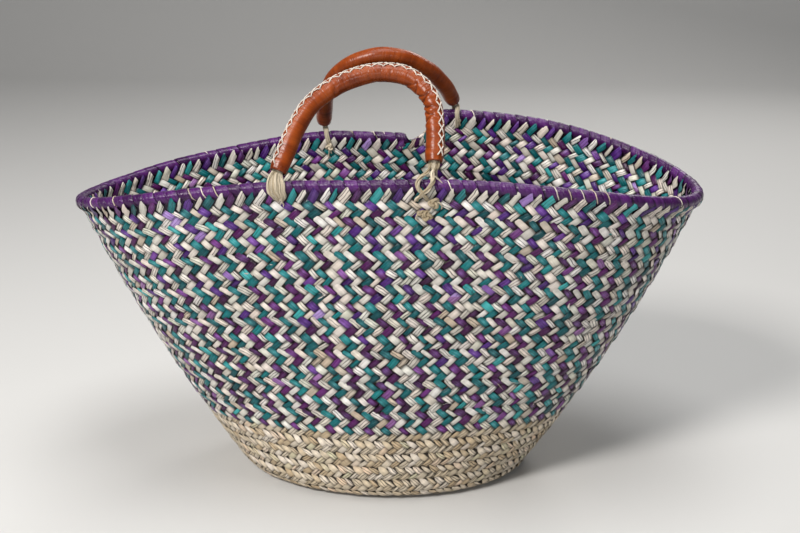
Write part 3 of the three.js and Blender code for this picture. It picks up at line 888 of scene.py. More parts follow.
def leather_finish(colours):
    """Tanned leather: a fine grain and blotches, with painted shade in the folds, and darker at raw edges,
    which the tint marks.
    """
    f = Finish("leather", 0.42, 0.32)
    fold, edge, _, _ = f.tint()
    blotch = f.noise(f.place(), Scale=55.0, Detail=5.0)
    grain = f.add("TexVoronoi", {0: f.place(), "Scale": 900.0}).outputs[0]
    crease = f.noise(f.stretched(f.lay(), 0.05, 0.32), Scale=1.0, Detail=3.0, Distortion=0.6)
    tone = f.ramp(
        blotch, colours.leather, (0.28, 0.55, 0.45, 0.4), (0.45, 0.9, 0.85, 0.8), (0.6, 1.08, 1.12, 1.1),
        (0.78, 1.25, 1.5, 1.7))
    tone = f.shaded(tone, f.scaled(crease, 0.9, 0.52))
    # Painted shade in the folds
    tone = f.mix(f.times(fold, 0.8), tone, toned(colours.leather, 0.3, 0.2, 0.2))
    tone = f.mix(edge, tone, toned(colours.leather, 0.22, 0.18, 0.2))
    wrinkled = f.bump(crease, 0.28, 0.0016)
    return f.done(tone, f.scaled(blotch, 0.24, 0.2), f.bump(grain, 0.1, 0.0003, Normal=wrinkled))


# Plait and loose leaves


# Number of broad leaf ends and of thin fibres, and the lowest seam that they leave from
LOOSE_ENDS, LOOSE_FIBRES, LOOSE_FOOT = 100, 50, 8


def loose_leaves(wall, rng):
    """Leaf ends that have come loose: ribbons that leave the wall near the weave's slant, bend aside, lift
    off it and narrow to a point. The last third are thin fibres low on the wall."""
    number = LOOSE_ENDS + LOOSE_FIBRES
    thin = (np.arange(number) >= LOOSE_ENDS)[:, None, None]
    t = np.linspace(0, 1, 7)[None, :, None]
    y = np.array([-1.0, 0.0, 1.0])[None, None, :]

    def pick(low, high):
        """A random number for each leaf end."""
        return rng.uniform(low, high, (number, 1, 1))

    share = pick(0, 1)
    foot = wall.seam(LOOSE_FOOT, share)
    top = np.where(thin, wall.seam(wall.last - 5, share), wall.seam(wall.last, share) - 16 * MM)
    reach = foot + (top - foot) * pick(0, 1)
    span = np.where(thin, pick(7, 14), pick(4, 9)) * MM
    half = np.where(thin, pick(0.14, 0.26), pick(0.5, 1.5)) * MM * (1 - 0.88 * t**2)
    slant = pick(0.45, 1.0) * np.where(pick(0, 1) < 0.5, 1, -1)
    slant = slant + np.where(pick(0, 1) < 0.5, 0, math.pi) + pick(-0.9, 0.9) * t
    run = span * t * np.cos(slant) - y * half * np.sin(slant)
    climb = span * t * np.sin(slant) + y * half * np.cos(slant)
    depth = (0.5 + 0.2 * y * y) * MM - np.where(thin, pick(1.0, 4.0), pick(0.9, 2.6)) * MM * t**1.6
    place = wall.angle(share)
    step = 1e-3
    pace = wall.point(place + step, reach) - wall.point(place - step, reach)
    pace = np.linalg.norm(pace, axis=-1) / (2 * step)
    points = wall.place(place + run / pace, reach + climb, depth)
    uv = stacked(y * half, span * t) / MM + rng.uniform(0, MAP_RANGE, (number, 1, 1, 2))
    dyes = rng.choice([NATURAL, NATURAL, NATURAL, TEAL, PURPLE], (number, 1, 1))
    tint = np.ones((number, 1, 1, 4))
    tint[..., 0] = np.where(thin, NATURAL, dyes)
    tint[..., 1:3] = rng.uniform(0, 1, (number, 1, 1, 2))
    return Surface(points, patch_faces(number, t.size, y.size), uv, tint)


class MARKET_BASKET_OT_loose_leaves(bpy.types.Operator):
    """Builds the leaf ends and fibres that have come loose from the plait"""

    bl_idname = "market_basket.loose_leaves"
    bl_label = "Loose Leaves"

    def execute(self, context):
        surface = loose_leaves(given(context)[0], np.random.default_rng(LOOSE_SEED))
        piece = make_piece("loose_leaves", [surface], [bpy.data.materials["palm_leaf"]])
        settle(piece, "basket", "natural_plait")
        return {"FINISHED"}


class MARKET_BASKET_OT_natural_plait(bpy.types.Operator):
    """Builds the start strip and the turns of narrow natural plait"""

    bl_idname = "market_basket.natural_plait"
    bl_label = "Natural Plait"

    def execute(self, context):
        wall, sizes, _, colours = given(context)
        finishes = [leaf_finish(colours), core_finish(colours)]
        strip = StartStrip(sizes)
        rows = natural_rows(Strands(strip, 1, sizes.natural_pitch, 0.0))
        piece = plait_turn("start_strip", strip, 1, rows, finishes)
        settle(piece, "basket", "natural_plait", "base_start_strip")
        before = 0.0
        for turn in range(1, sizes.natural_turns + 1):
            strands = Strands(wall, turn, sizes.natural_pitch, before)
            piece = plait_turn(f"natural_turn_{turn}", wall, turn, natural_rows(strands), finishes)
            settle(piece, "basket", "natural_plait", f"natural_plait_turn_{turn}")
            before += strands.total
        return {"FINISHED"}


class MARKET_BASKET_OT_dyed_plait(bpy.types.Operator):
    """Builds the turns of wide dyed plait"""

    bl_idname = "market_basket.dyed_plait"
    bl_label = "Dyed Plait"

    def execute(self, context):
        wall, sizes, _, _ = given(context)
        finishes = [bpy.data.materials["palm_leaf"], bpy.data.materials["inner_leaf"]]
        before, below = 0.0, None
        for number in range(1, sizes.dyed_turns + 1):
            turn = sizes.natural_turns + number
            last = turn == wall.last
            strands = Strands(wall, turn, sizes.rim_pitch if last else sizes.dyed_pitch, before)
            rows = dyed_rows(strands, below, last)
            piece = plait_turn(f"dyed_turn_{number}", wall, turn, rows, finishes)
            settle(piece, "basket", "dyed_plait", f"dyed_plait_turn_{number}")
            before, below = before + strands.total, strands
        return {"FINISHED"}


# Rim


# How far a wrap moves on along the rim while it goes round the roll, in steps from wrap to wrap
WRAP_SLANT = 1.9
# Stretches of the rim where thread shows in every groove: front or back, and from left to right in metres
THREAD_RUNS = ((-1, 0.145, 0.205), (-1, -0.165, -0.13), (1, -0.03, -0.004), (1, -0.2, -0.185))
# Across one wrap: place in steps from wrap to wrap, lift in millimetres, and how clear of the groove, which
# sets the painted shade there
WRAP_PROFILE = np.array([
    (-0.1, -0.5, 0.0), (0.0, -0.15, 0.0), (0.08, 0.3, 0.9), (0.32, 0.55, 1.0),
    (0.7, 0.65, 1.0), (0.95, 0.5, 1.05), (1.04, -0.35, 0.0),
])


def rim_section(wall, steps):
    """The binding's section, out and up from the wall's edge: up the outer face behind the leaf tips, round
    the roll, and down the inner face. Even steps along it, and the way it faces."""
    s = wall.s
    turn = np.radians(np.linspace(-58, 238, 60))
    roll = np.stack([s.roll_radius * np.cos(turn), s.roll_rise + s.roll_radius * np.sin(turn)], -1)
    leg = np.array([[0.9, -12.0], [1.15, -6.0], [1.7, -3.0]]) * MM
    line = np.concatenate([leg, roll, leg[::-1] * [-1, 1]])
    run = lengths_along(line)
    at = np.linspace(0, run[-1], steps)
    line = sampled(at, run, line)
    along = np.gradient(line, axis=0)
    return line, unit(np.stack([along[:, 1], -along[:, 0]], -1)), at


def rim_share(run, along):
    """Shares round the rim at lengths along it."""
    share, lengths = run
    return np.interp(along % lengths[-1], lengths, share)


def rim_points(wall, run, along, section):
    """Points at lengths along the rim, moved out and up in the rim's frames."""
    middle, _, out, up = wall.rim(rim_share(run, along))
    return middle + out * section[..., :1] + up * section[..., 1:]


def rim_wraps(wall, rng):
    """The binding: leaves wound round the rim as a helix. Each leaf climbs over the one before it."""
    run = wall.rim_run()
    total = run[1][-1]
    number = round(total / wall.s.wrap_pitch)
    pitch = total / number
    wrap = np.arange(number)
    wrap = wrap[wall.bare(rim_share(run, (wrap + 0.5) * pitch)) < 0.5][:, None, None]
    section, facing, at = rim_section(wall, 22)
    t = np.linspace(0, 1, len(section))[None, :, None]
    across, lift, clear = WRAP_PROFILE.T[:, None, None, :]
    lift = lift * MM * (0.35 + 0.65 * np.sin(math.pi * t)) + rng.normal(0, 0.12, wrap.shape) * MM
    drift = rng.normal(0, 0.06, wrap.shape) + rng.normal(0, 0.12, wrap.shape) * (t - 0.5)
    along = pitch * (wrap + across + drift + WRAP_SLANT * (0.5 - t))
    spot = section[None, :, None, :] + facing[None, :, None, :] * lift[..., None]
    points = rim_points(wall, run, along, spot)
    uv = stacked(across * pitch, at[None, :, None]) / MM
    uv = uv + rng.uniform(0, MAP_RANGE, wrap.shape + (2,))
    tint = np.zeros(along.shape + (4,))
    # The tint marks the crest for a painted highlight, a random shade, and painted shade low down and in the
    # grooves
    crest = (section[:, 1] - wall.s.roll_rise) / wall.s.roll_radius
    tint[..., 0] = np.clip(crest, 0, 1)[None, :, None]
    tint[..., 1] = rng.uniform(0, 1, wrap.shape)
    tint[..., 2] = ease((section[:, 1] / MM + 3.5) / 6)[None, :, None]
    tint[..., 3] = clear
    faces = patch_faces(*along.shape)[:, ::-1]
    return Surface(points, faces, uv, tint), pitch, wrap.ravel()


def rim_threads(wall, pitch, wraps, rng):
    """Natural thread that holds the wraps: short strands in the grooves of a few stretches, and now and
    then one elsewhere."""
    run = wall.rim_run()
    section, facing, _ = rim_section(wall, 60)
    spot = wall.rim(rim_share(run, wraps * pitch))[0]
    shown = rng.uniform(0, 1, len(wraps)) < 0.07
    for side, left, right in THREAD_RUNS:
        shown |= (spot[:, 1] * side > 0) & (spot[:, 0] > left) & (spot[:, 0] < right)
    wrap = wraps[shown][:, None]
    start = rng.uniform(0.2, 0.3, wrap.shape)
    steps = 11
    t = start + np.linspace(0, 1, steps)[None, :] * rng.uniform(0.26, 0.42, wrap.shape)
    along = pitch * (wrap + WRAP_SLANT * (0.5 - t))
    step = (t * (len(section) - 1)).round().astype(int)
    lift = (0.45 - np.abs(np.linspace(-1, 1, steps)) ** 4) * MM
    paths = rim_points(wall, run, along, section[step] + facing[step] * lift[:, None])
    ahead = wall.rim(rim_share(run, along))[1]
    return tubes(paths, 0.5 * MM, 6, ahead, strand_tints(len(wrap), rng))


def step_leaves(wall, rng, side):
    """Leaf ends where the binding stops at the rim's step, on one face of the wall: ribbons side by side
    that rise along the sloping edge, arched, with rounded upper ends."""
    run = wall.rim_run()
    dyes = np.array([NATURAL, TEAL, NATURAL, PURPLE, NATURAL, TEAL, NATURAL])[:, None, None]
    leaf = np.arange(len(dyes))[:, None, None]
    t = np.linspace(0, 1, 9)[None, :, None]
    y = np.array([-1.0, -0.8, 0.0, 0.8, 1.0])[None, None, :]
    # Half breadth, rise, reach along the rim and the rest in millimetres
    half = (2.3 + rng.normal(0, 0.2, leaf.shape)) * np.sqrt(1.03 - t**6)
    rise = 8.5 + rng.normal(0, 0.6, leaf.shape) - 0.4 * leaf
    reach = 8.0 + 0.8 * leaf
    tall = np.hypot(rise, reach)
    along = run[1][-1] / MM + 6.0 - 4.6 * leaf - reach * t + half * y * rise / tall
    up = -7.6 + rise * t + half * y * reach / tall
    out = 2.3 + 1.1 * np.sin(math.pi * np.clip(t, 0.05, 1)) - 0.5 * np.abs(y) ** 3 + 0.25 * y
    section = stacked(side * out, up) * MM
    points = rim_points(wall, run, along * MM, section)
    uv = stacked(half * y, tall * t) + rng.uniform(0, MAP_RANGE, leaf.shape + (2,))
    tint = np.zeros(along.shape + (4,))
    tint[..., 0] = dyes
    tint[..., 1:3] = rng.uniform(0, 1, leaf.shape + (2,))
    # Painted shade at the edges and at the lower end of each leaf
    tint[..., 3] = (1 - 0.5 * np.abs(y) ** 6) * (0.4 + 0.6 * ease(t / 0.2))
    faces = patch_faces(*along.shape)
    return Surface(points, faces if side < 0 else faces[:, ::-1], uv, tint)


def rim_core(wall):
    """The roll's core: a bundle of leaf with five lobes that twist along the rim."""
    run = wall.rim_run()
    total, twists, rows, columns = run[1][-1], 30, 360, 20
    along = np.linspace(0, total, rows, endpoint=False)[:, None]
    turn = full_turn(columns)[None, :]
    lobes = np.abs(np.cos(2.5 * (turn - TAU * twists * along / total)))
    bare = wall.bare(rim_share(run, along))
    radius = (2.5 + 0.6 * lobes) * (1 - 0.6 * bare) * MM
    rise = wall.s.roll_rise * (1 - 1.2 * bare)
    section = stacked(radius * np.cos(turn), rise + radius * np.sin(turn))
    points = rim_points(wall, run, along, section)
    uv = stacked(turn * 3.0, along / MM)
    return Surface(points, patch_faces(1, rows, columns, around=True, ring=True), uv, np.full(4, 0.5))


class MARKET_BASKET_OT_rim(bpy.types.Operator):
    """Builds the rim's core, its leaf binding, the threads that hold it and the leaf ends at its step"""

    bl_idname = "market_basket.rim"
    bl_label = "Rim"

    def execute(self, context):
        wall, _, _, colours = given(context)
        rng = np.random.default_rng(RIM_SEED)
        fibre = fibre_finish("rope_fibre", colours.rope, 1.4)
        settle(make_piece("rim_bundle", [rim_core(wall)], [fibre]), "basket", "natural_plait", "rim_core")
        wraps, pitch, shown = rim_wraps(wall, rng)
        binding = make_piece("rim_wraps", [wraps], [rim_finish(colours)])
        settle(binding, "basket", "rim_binding", "rim_binding")
        thread = fibre_finish("rim_thread", colours.lace, 2.0)
        threads = make_piece("rim_threads", [rim_threads(wall, pitch, shown, rng)], [thread])
        settle(threads, "basket", "seam_cord")
        ends = [step_leaves(wall, rng, side) for side in (-1, 1)]
        leaves = make_piece("step_leaves", ends, [bpy.data.materials["palm_leaf"]])
        settle(leaves, "basket", "dyed_plait")
        return {"FINISHED"}


class MARKET_BASKET_OT_seam_cords(bpy.types.Operator):
    """Builds the sewing cords in the seams"""

    bl_idname = "market_basket.seam_cords"
    bl_label = "Seam Cords"

    def execute(self, context):
        wall, sizes, _, colours = given(context)
        cord = fibre_finish("seam_fibre", colours.rope, 2.0)
        turns = sizes.natural_turns
        for kind, first, last, pitch in (
            ("natural", 0, turns - 1, sizes.natural_pitch),
            ("dyed", turns, wall.last - 1, sizes.dyed_pitch),
        ):
            piece = seam_cord(wall, first, last, pitch, cord, f"{kind}_sewing")
            settle(piece, "basket", "seam_cord", f"{kind}_seam_cord")
        return {"FINISHED"}


# Handles


# The handles' arches, as shares of the span from foot to foot and of the rise
ARCHES = {
    "front": [
        (0, 0), (0.048, 0.195), (0.104, 0.412), (0.19, 0.65), (0.317, 0.828), (0.448, 0.932), (0.583, 0.99),
        (0.695, 1), (0.815, 0.965), (0.914, 0.86), (0.977, 0.73), (1.006, 0.55), (1.01, 0.33), (1, 0),
    ],
    "back": [
        (0, 0), (0.042, 0.245), (0.094, 0.49), (0.16, 0.69), (0.258, 0.86), (0.37, 0.96),
        (0.5, 1), (0.63, 0.963), (0.758, 0.842), (0.872, 0.62), (0.955, 0.318), (1, 0),
    ],
}
# How far the leather stops short of the left and right flex point
SETBACKS = {"front": (0.8 * MM, 7 * MM), "back": (4 * MM, 2.4 * MM)}
# Folds across the leather: place along the sleeve, slant, depth in mm, width in mm, and side they lie on
FOLDS = {
    "front": [
        (0.655, 6, 0.7, 1.5, 3.6), (0.69, -5, 0.9, 1.4, 3.5), (0.715, 4, 1.2, 1.6, 3.4),
        (0.745, -3, 1.5, 1.7, 3.5), (0.77, 3, 1.7, 1.7, 3.6), (0.795, 5, 1.2, 1.4, 3.7),
        (0.825, -4, 1.0, 1.5, 3.6), (0.86, 3, 0.4, 1.5, 3.8), (0.895, -2, 0.25, 1.6, 3.9),
        (0.93, 3, 0.2, 1.6, 3.9), (0.35, 5, 0.4, 2.2, 3.4), (0.5, -4, 0.35, 2.4, 3.5),
    ],
    "back": [
        (0.2, 4, 1.0, 1.6, 2.6), (0.27, -5, 1.2, 1.7, 2.4), (0.3, 4, 0.9, 1.4, 2.5),
        (0.62, 4, 0.5, 1.8, 2.6), (0.72, -4, 0.7, 1.6, 2.6), (0.8, 3, 0.6, 1.5, 2.6),
    ],
}


class Foot:
    """A frame at a handle's foot on the rim: right, out and up from the wall's edge, and its flex point."""

    def __init__(self, wall, handles, name):
        """The rim's frame at the foot, and the flex point straight above its edge."""
        self.name = name
        share = wall.share(getattr(handles, name))
        self.middle, along, self.out, self.up = wall.rim(np.array(share))
        self.right = along if name.startswith("front") else -along
        self.flex = self.middle + self.up * handles.flex_rise

    def place(self, spots):
        """Points from right, out and up in millimetres."""
        spots = np.asarray(spots, float) * MM
        right, out, up = spots[..., :1], spots[..., 1:2], spots[..., 2:]
        return self.middle + right * self.right + out * self.out + up * self.up


class Arch:
    """A handle's middle line, from flex point to flex point in a plane that leans inwards, and its frames."""

    def __init__(self, wall, handles, name):
        """The drawn arch, scaled to its span and rise, leant about the line of its feet and smoothed."""
        self.name = name
        self.feet = [Foot(wall, handles, f"{name}_{side}") for side in ("left", "right")]
        start, end = (foot.flex for foot in self.feet)
        x = unit(end - start)
        z = unit(np.array([0.0, 0.0, 1.0]) - x * x[2])
        y = np.cross(z, x)
        lean = getattr(handles, f"{name}_lean") * (-1 if name == "front" else 1)
        rise = getattr(handles, f"{name}_rise")
        shape = np.array(ARCHES[name]) * [np.linalg.norm(end - start), rise]
        line = start + shape[:, :1] * x + shape[:, 1:] * (z * math.cos(lean) - y * math.sin(lean))
        self.line = smooth_path(line, 60)
        self.run = lengths_along(self.line)
        self.total = self.run[-1]
        self.side = y * math.cos(lean) + z * math.sin(lean)

    def point(self, along):
        """The middle line at lengths along it, carried on straight beyond its ends."""
        ends = unit(np.stack([self.line[1] - self.line[0], self.line[-1] - self.line[-2]]))
        before, after = np.minimum(along, 0), np.maximum(along - self.total, 0)
        over = before[..., None] * ends[0] + after[..., None] * ends[1]
        return sampled(along, self.run, self.line) + over

    def frames(self, along):
        """Points at lengths along the arch, the way ahead there, and the way to its outer side."""
        ahead = unit(self.point(along + 0.5 * MM) - self.point(along - 0.5 * MM))
        return self.point(along), ahead, np.cross(ahead, self.side)

    def around(self, along, turn, radius):
        """Points at an angle from the arch's outer side and at a radius."""
        along, turn, radius = (part[..., None] for part in np.broadcast_arrays(along, turn, radius))
        middle, _, out = self.frames(along[..., 0])
        return middle + radius * (np.cos(turn) * out + np.sin(turn) * self.side)


def wrapped(turn):
    """An angle brought between minus and plus half a turn."""
    return (turn + math.pi) % TAU - math.pi


def sleeve(arch, handles, seam):
    """The leather sleeve: a tube whose two edges meet in a raised seam, folded across in the bends, with
    cut ends that turn in to the bore."""
    low, high = SETBACKS[arch.name]
    rows, columns = 260, 48
    along = np.linspace(low, arch.total - high, rows)[:, None]
    turn = full_turn(columns)[None, :]
    away = wrapped(turn - seam)
    lips = hump((away - 0.15) / 0.13) + hump((away + 0.15) / 0.13)
    radius = handles.sleeve_radius / MM + 0.75 * lips - 0.45 * hump(away / 0.07)
    share = along / arch.total
    radius = radius + 0.18 * np.sin(23 * share + 2 * turn) + 0.14 * np.sin(51 * share - turn)
    fold = 0 * radius
    for place, slant, deep, wide, side in FOLDS[arch.name]:
        off = wrapped(turn - side)
        line = (along - place * arch.total) / MM - slant * off - 0.8 * np.sin(3 * off + 9 * place)
        reach = hump(off / 1.15)
        ridge = hump((line - 1.9 * wide) / wide)
        radius = radius - deep * reach * hump(line / wide) + 0.45 * deep * reach * ridge
        fold = fold + deep * reach * hump(line / (0.6 * wide))
    end = np.minimum(along - low, arch.total - high - along) / MM
    radius = radius - 0.8 * (1 - ease(end / 7)) - 0.9 * (1 - ease(end / 0.8))
    outer = arch.around(along, turn, radius * MM)
    inner = arch.around(along, turn, handles.sleeve_bore)
    points = np.concatenate([outer, inner[::-1]])
    tint = np.zeros((2 * rows, columns, 4))
    # The tint's first channel marks the folds for painted shade
    tint[:rows, :, 0] = np.clip(fold, 0, 1)
    tint[:rows, :, 1] = np.clip(0.8 * hump(away / 0.06) + 0.9 * (1 - ease(end / 1.2)), 0, 1)
    tint[rows:, :, 1] = 1.0
    uv = stacked(turn * 8.0, np.concatenate([along, along[::-1]]) / MM)
    faces = patch_faces(1, 2 * rows, columns, around=True, ring=True)
    return Surface(points, faces, uv, tint)


def lace(arch, handles, seam):
    """The lace: two threads that zigzag over the seam in opposite steps, so that they cross, and dip into
    the leather at each turn."""
    low, high = SETBACKS[arch.name]
    inset = 4.5 * MM
    low, high = low + inset, arch.total - high - inset
    stitches = round((high - low) / handles.lace_pitch)
    t = np.linspace(0, stitches, 12 * stitches + 1)
    along = low + (high - low) * t / stitches
    swing = 1 - 2 * np.abs((t % 2) - 1)
    width = handles.lace_spread / 2 / handles.sleeve_radius
    sides = np.array([1.0, -1.0])[:, None]
    turn = seam + sides * swing * width
    over = sides * np.where(np.floor(t) % 2 == 0, 1, -1)
    rise = 0.95 + 0.45 * over * hump(swing / 0.3) - 1.9 * ease((np.abs(swing) - 0.8) / 0.2)
    radius = handles.sleeve_radius + rise * MM
    paths = arch.around(along, turn, radius)
    spokes = unit(paths - arch.point(along))
    return tubes(paths, handles.lace / 2, 6, spokes, np.full(4, 0.5))


def rope(arch, handles):
    """The rope in the sleeve: three strands twisted together, narrowing to its ends."""
    rows, columns = 200, 24
    along = np.linspace(0, arch.total, rows)[:, None]
    turn, lay = full_turn(columns)[None, :], 26 * MM
    lobes = np.abs(np.cos(1.5 * turn - 0.5 * TAU * along / lay))
    end = np.minimum(along, arch.total - along)
    radius = handles.rope_radius * (0.72 + 0.28 * lobes) * (0.4 + 0.6 * ease((end / MM - 4) / 9))
    radius[[0, -1]] = 0.1 * MM
    points = arch.around(along, turn, radius)
    uv = stacked(turn * 5.0 - along / MM * 0.5, along / MM)
    faces = patch_faces(1, rows, columns, around=True)
    fan = fan_faces(columns)
    faces = np.concatenate([faces, fan, fan[:, ::-1] + (rows - 1) * columns])
    return Surface(points, faces, uv, np.full(4, 0.5))


class MARKET_BASKET_OT_handles(bpy.types.Operator):
    """Builds the ropes, leather sleeves and laces of both handles"""

    bl_idname = "market_basket.handles"
    bl_label = "Handles"

    def execute(self, context):
        wall, _, handles, colours = given(context)
        fibre, leather = bpy.data.materials["rope_fibre"], leather_finish(colours)
        thread = fibre_finish("lace_thread", colours.lace, 3.0)
        for name in ("front", "back"):
            arch = Arch(wall, handles, name)
            seam = getattr(handles, f"{name}_lace_turn")
            for part, surface, finish, slot, node in (
                ("rope", rope(arch, handles), fibre, "rope", "rope"),
                ("sleeve", sleeve(arch, handles, seam), leather, "leather", "leather_sleeve"),
                ("lacing", lace(arch, handles, seam), thread, "lace", "lace"),
            ):
                piece = make_piece(f"{name}_{part}", [surface], [finish])
                settle(piece, f"{name}_handle", slot, f"{name}_handle_{node}")
        return {"FINISHED"}


# Ties


def knot(foot, centre, size, turn):
    """A small overhand knot: a trefoil curve about a place at the foot."""
    t = np.linspace(0, TAU, 40)
    flat = stacked(np.sin(t) + 2 * np.sin(2 * t), -np.sin(3 * t), np.cos(t) - 2 * np.cos(2 * t)) * size / 3
    c, s = math.cos(turn), math.sin(turn)
    flat = flat @ np.array([[c, 0, s], [0, 1, 0], [-s, 0, c]])
    return foot.place(flat + centre)[None]


def strand_set(foot, lines, ahead):
    """Strands through points at the foot, all led up into the sleeve along the way the rope leaves it."""
    lines = np.asarray(lines, float)
    spread = 4.0
    fan = np.zeros((len(lines), 1, 3))
    fan[..., 0] = np.linspace(-spread, spread, len(lines))[:, None]
    fan[..., 1] = (np.arange(len(lines)) % 2)[:, None] * 2.4 - 1.2
    root = foot.place(fan) - foot.middle + foot.flex
    paths = np.concatenate([root + ahead * 13 * MM, root + ahead * 4 * MM, foot.place(lines)], 1)
    return smooth_path(paths, 7)


def fan_lines():
    """Nine strands that bulge over the outside of the rim and draw together under it, and three inside."""
    wide, out, up = np.array([
        (5.6, 3.0, 13.0), (7.1, 6.3, 7.0), (6.7, 6.9, 1.6),
        (5.3, 5.7, -2.6), (4.0, 3.3, -5.6), (3.2, 0.4, -7.2),
    ]).T
    v = np.linspace(-1, 1, 9)[:, None]
    middle = -1.5 + 1.8 * (up < 0)
    outside = stacked(wide * v + middle, out * (1 - 0.12 * v * v), up + 0.8 * np.cos(5 * v))
    wide, out, up = np.array([
        (2.0, -3.0, 13.0), (3.0, -6.6, 6.0), (2.4, -6.2, 0.0),
        (1.2, -4.0, -6.0), (0.5, -2.6, -10.0), (0.3, -0.4, -11.5),
    ]).T
    inside = stacked(wide * np.array([[-1], [0], [1]]), out, up)
    return np.concatenate([outside, inside])


def ring_lines():
    """Strands, twisted in threes, that part into a ring over the outside of the rim and cross under it, and
    two inside."""
    left = [
        (-6, 2.5, 15), (-11.5, 5, 11.5), (-13.5, 7.0, 7), (-12, 7.8, 2.5),
        (-9, 7.6, -1.5), (-6.5, 6, -5), (-5, 3.2, -8),
    ]
    right = [
        (-1, 3.5, 14.5), (0, 6.4, 10.5), (-2, 7.8, 6), (-5.5, 8, 1.5),
        (-9.5, 7.2, -2.5), (-13, 5.4, -6), (-14.5, 3, -8.5),
    ]
    inside = [
        (1, -3, 14), (2, -6.6, 7), (2.5, -6.4, 1), (1.5, -4.2, -4),
        (1, -3.4, -6), (0.5, -2.8, -8), (0, -0.5, -10),
    ]
    lines = []
    for line, strands in ((left, 3), (right, 3), (inside, 2)):
        at = 1.3 * np.arange(len(line)) + 2.1 * np.arange(strands)[:, None]
        twist = stacked(1.3 * np.cos(at), 0.5 + 0.5 * np.sin(at), 0.9 * np.sin(at))
        lines.extend(np.array(line) + twist)
    return lines


def drop_lines(lean):
    """Strands that go over the rim, three on each side of it, and meet under it."""
    inside = [
        (1 + lean, -3, 14), (1.5 + lean, -6.8, 7), (2.5 + lean, -6.6, 0),
        (3 + lean, -4.4, -5), (2.5 + lean, -2.9, -8), (2, -0.5, -10),
    ]
    outside = [(0, 3, 14), (0.5, 6.8, 7), (0.5, 6.6, 0), (0.5, 4.0, -5), (0.5, 2.6, -8), (0.5, 0.4, -10)]
    shifts = np.array([(0, 0, 0), (1.5, 0.3, 0.4), (-1.3, 0.2, -0.6)])[:, None]
    return [line for side in (inside, outside) for line in np.array(side) + shifts]


# What each tie is made of: its strands, its knots by place, size and turn, and its loose ends
TIES = {
    "front_left": (fan_lines(), [], [[(1.0, 4.4, -5), (2.6, 4.2, -8), (3.4, 3.6, -10.5), (3.0, 3.2, -12.5)]]),
    "front_right": (
        ring_lines(),
        [((0.5, 5.0, -10.5), 4.2, 0.4), ((-5.5, 4.6, -22), 4.0, 1.3), ((-10.5, 4.0, -20), 3.0, 2.4)],
        [
            [(-4, 2.6, 15), (1.5, 5.0, 12.5), (5.5, 5.8, 9.5), (7.5, 6.2, 7.5)],
            [(-2, 4.0, -8), (-0.5, 4.6, -13), (-3.0, 4.4, -17.5), (-5.5, 4.2, -20)],
            [(3, 5.2, -9), (6.0, 5.0, -11), (7.0, 4.4, -14), (6.5, 4.0, -16)],
            [(-12, 4.2, -19), (-14.5, 4.2, -22), (-14.5, 4.0, -25), (-12, 3.8, -26.5)],
        ],
    ),
    "back_left": (
        drop_lines(1.0),
        [((4.0, -5.0, -7.0), 3.6, 0.8)],
        [
            [(3.5, -4.5, -8), (3.2, -4.6, -12), (2.4, -4.4, -16), (1.4, -4.2, -19)],
            [(4.5, -5.0, -8), (5.5, -5.0, -10.5), (5.2, -4.6, -13), (6.0, -4.4, -14.5)],
        ],
    ),
    "back_right": (
        drop_lines(2.0),
        [((1.0, 4.6, -9.0), 3.2, 2.0)],
        [
            [(2.0, -3.5, 12), (4.5, -6.5, 6), (6.5, -6.6, -1), (8.0, -4.4, -7)],
            [(1.0, 4.4, -10), (1.6, 4.4, -13), (0.8, 4.2, -16), (1.0, 4.0, -18)],
        ],
    ),
}


def tie(foot, ahead, rng):
    """The strands of one tie, each of uneven thickness, with its knots and its thinning loose ends."""
    lines, knots, ends = TIES[foot.name]
    extra = []
    for centre, size, turn in knots:
        path = knot(foot, np.array(centre), size, turn)
        extra.append(tubes(path, 0.34 * size * MM, 8, foot.out, strand_tints(1, rng)))
    paths = smooth_path(foot.place(ends), 7)
    slim = 0.8 * MM * np.linspace(1, 0.45, paths.shape[1])
    extra.append(tubes(paths, slim, 6, foot.out, strand_tints(len(ends), rng)))
    paths = strand_set(foot, lines, ahead)
    phase = np.linspace(0, 9, paths.shape[1]) + rng.uniform(0, 6, (len(paths), 1))
    radius = MM * rng.uniform(0.85, 1.2, (len(paths), 1)) * (1 + 0.16 * np.sin(phase))
    return [tubes(paths, radius, 6, foot.right + 0.3 * foot.up, strand_tints(len(paths), rng)), *extra]


class MARKET_BASKET_OT_ties(bpy.types.Operator):
    """Builds the strands that tie the handles over the rim"""

    bl_idname = "market_basket.ties"
    bl_label = "Ties"

    def execute(self, context):
        wall, _, handles, _ = given(context)
        fibre = bpy.data.materials["rope_fibre"]
        for name in ("front", "back"):
            arch = Arch(wall, handles, name)
            start, end = arch.frames(np.array([0.0, arch.total]))[1]
            for foot, ahead in zip(arch.feet, (start, -end)):
                surfaces = tie(foot, ahead, np.random.default_rng(len(foot.name)))
                piece = make_piece(f"{foot.name}_tie", surfaces, [fibre])
                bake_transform(piece)
                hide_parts(f"{foot.name}_rope_tie")
        return {"FINISHED"}


# Stage


# The camera fitted to the photograph: sensor and lens in millimetres, place, and turns in degrees
SENSOR, LENS, CAMERA_PLACE, CAMERA_TURN = 36.0, 51.02, (0.0949, -1.0431, 0.5627), (71.0, 0.0, 4.27)
# Lamps by place, size, power and colour, and the place in the basket that they are aimed at
LAMPS = {
    "key_lamp": ((-1.1, -1.6, 1.95), 0.6, 66.0, (1.0, 0.97, 0.94)),
    "fill_lamp": ((0.25, -2.4, 0.8), 0.35, 8.0, (0.96, 0.98, 1.0)),
    "top_lamp": ((0.1, -0.1, 1.9), 0.9, 20.0, (1.0, 1.0, 1.0)),
    "back_lamp": ((0.7, 1.8, 1.5), 0.9, 14.0, (1.0, 0.98, 0.96)),
}
LAMP_AIM = np.array([0.0, 0.0, 0.18])
SKY_TONE, SKY_STRENGTH = (0.92, 0.95, 1.0, 1.0), 0.155


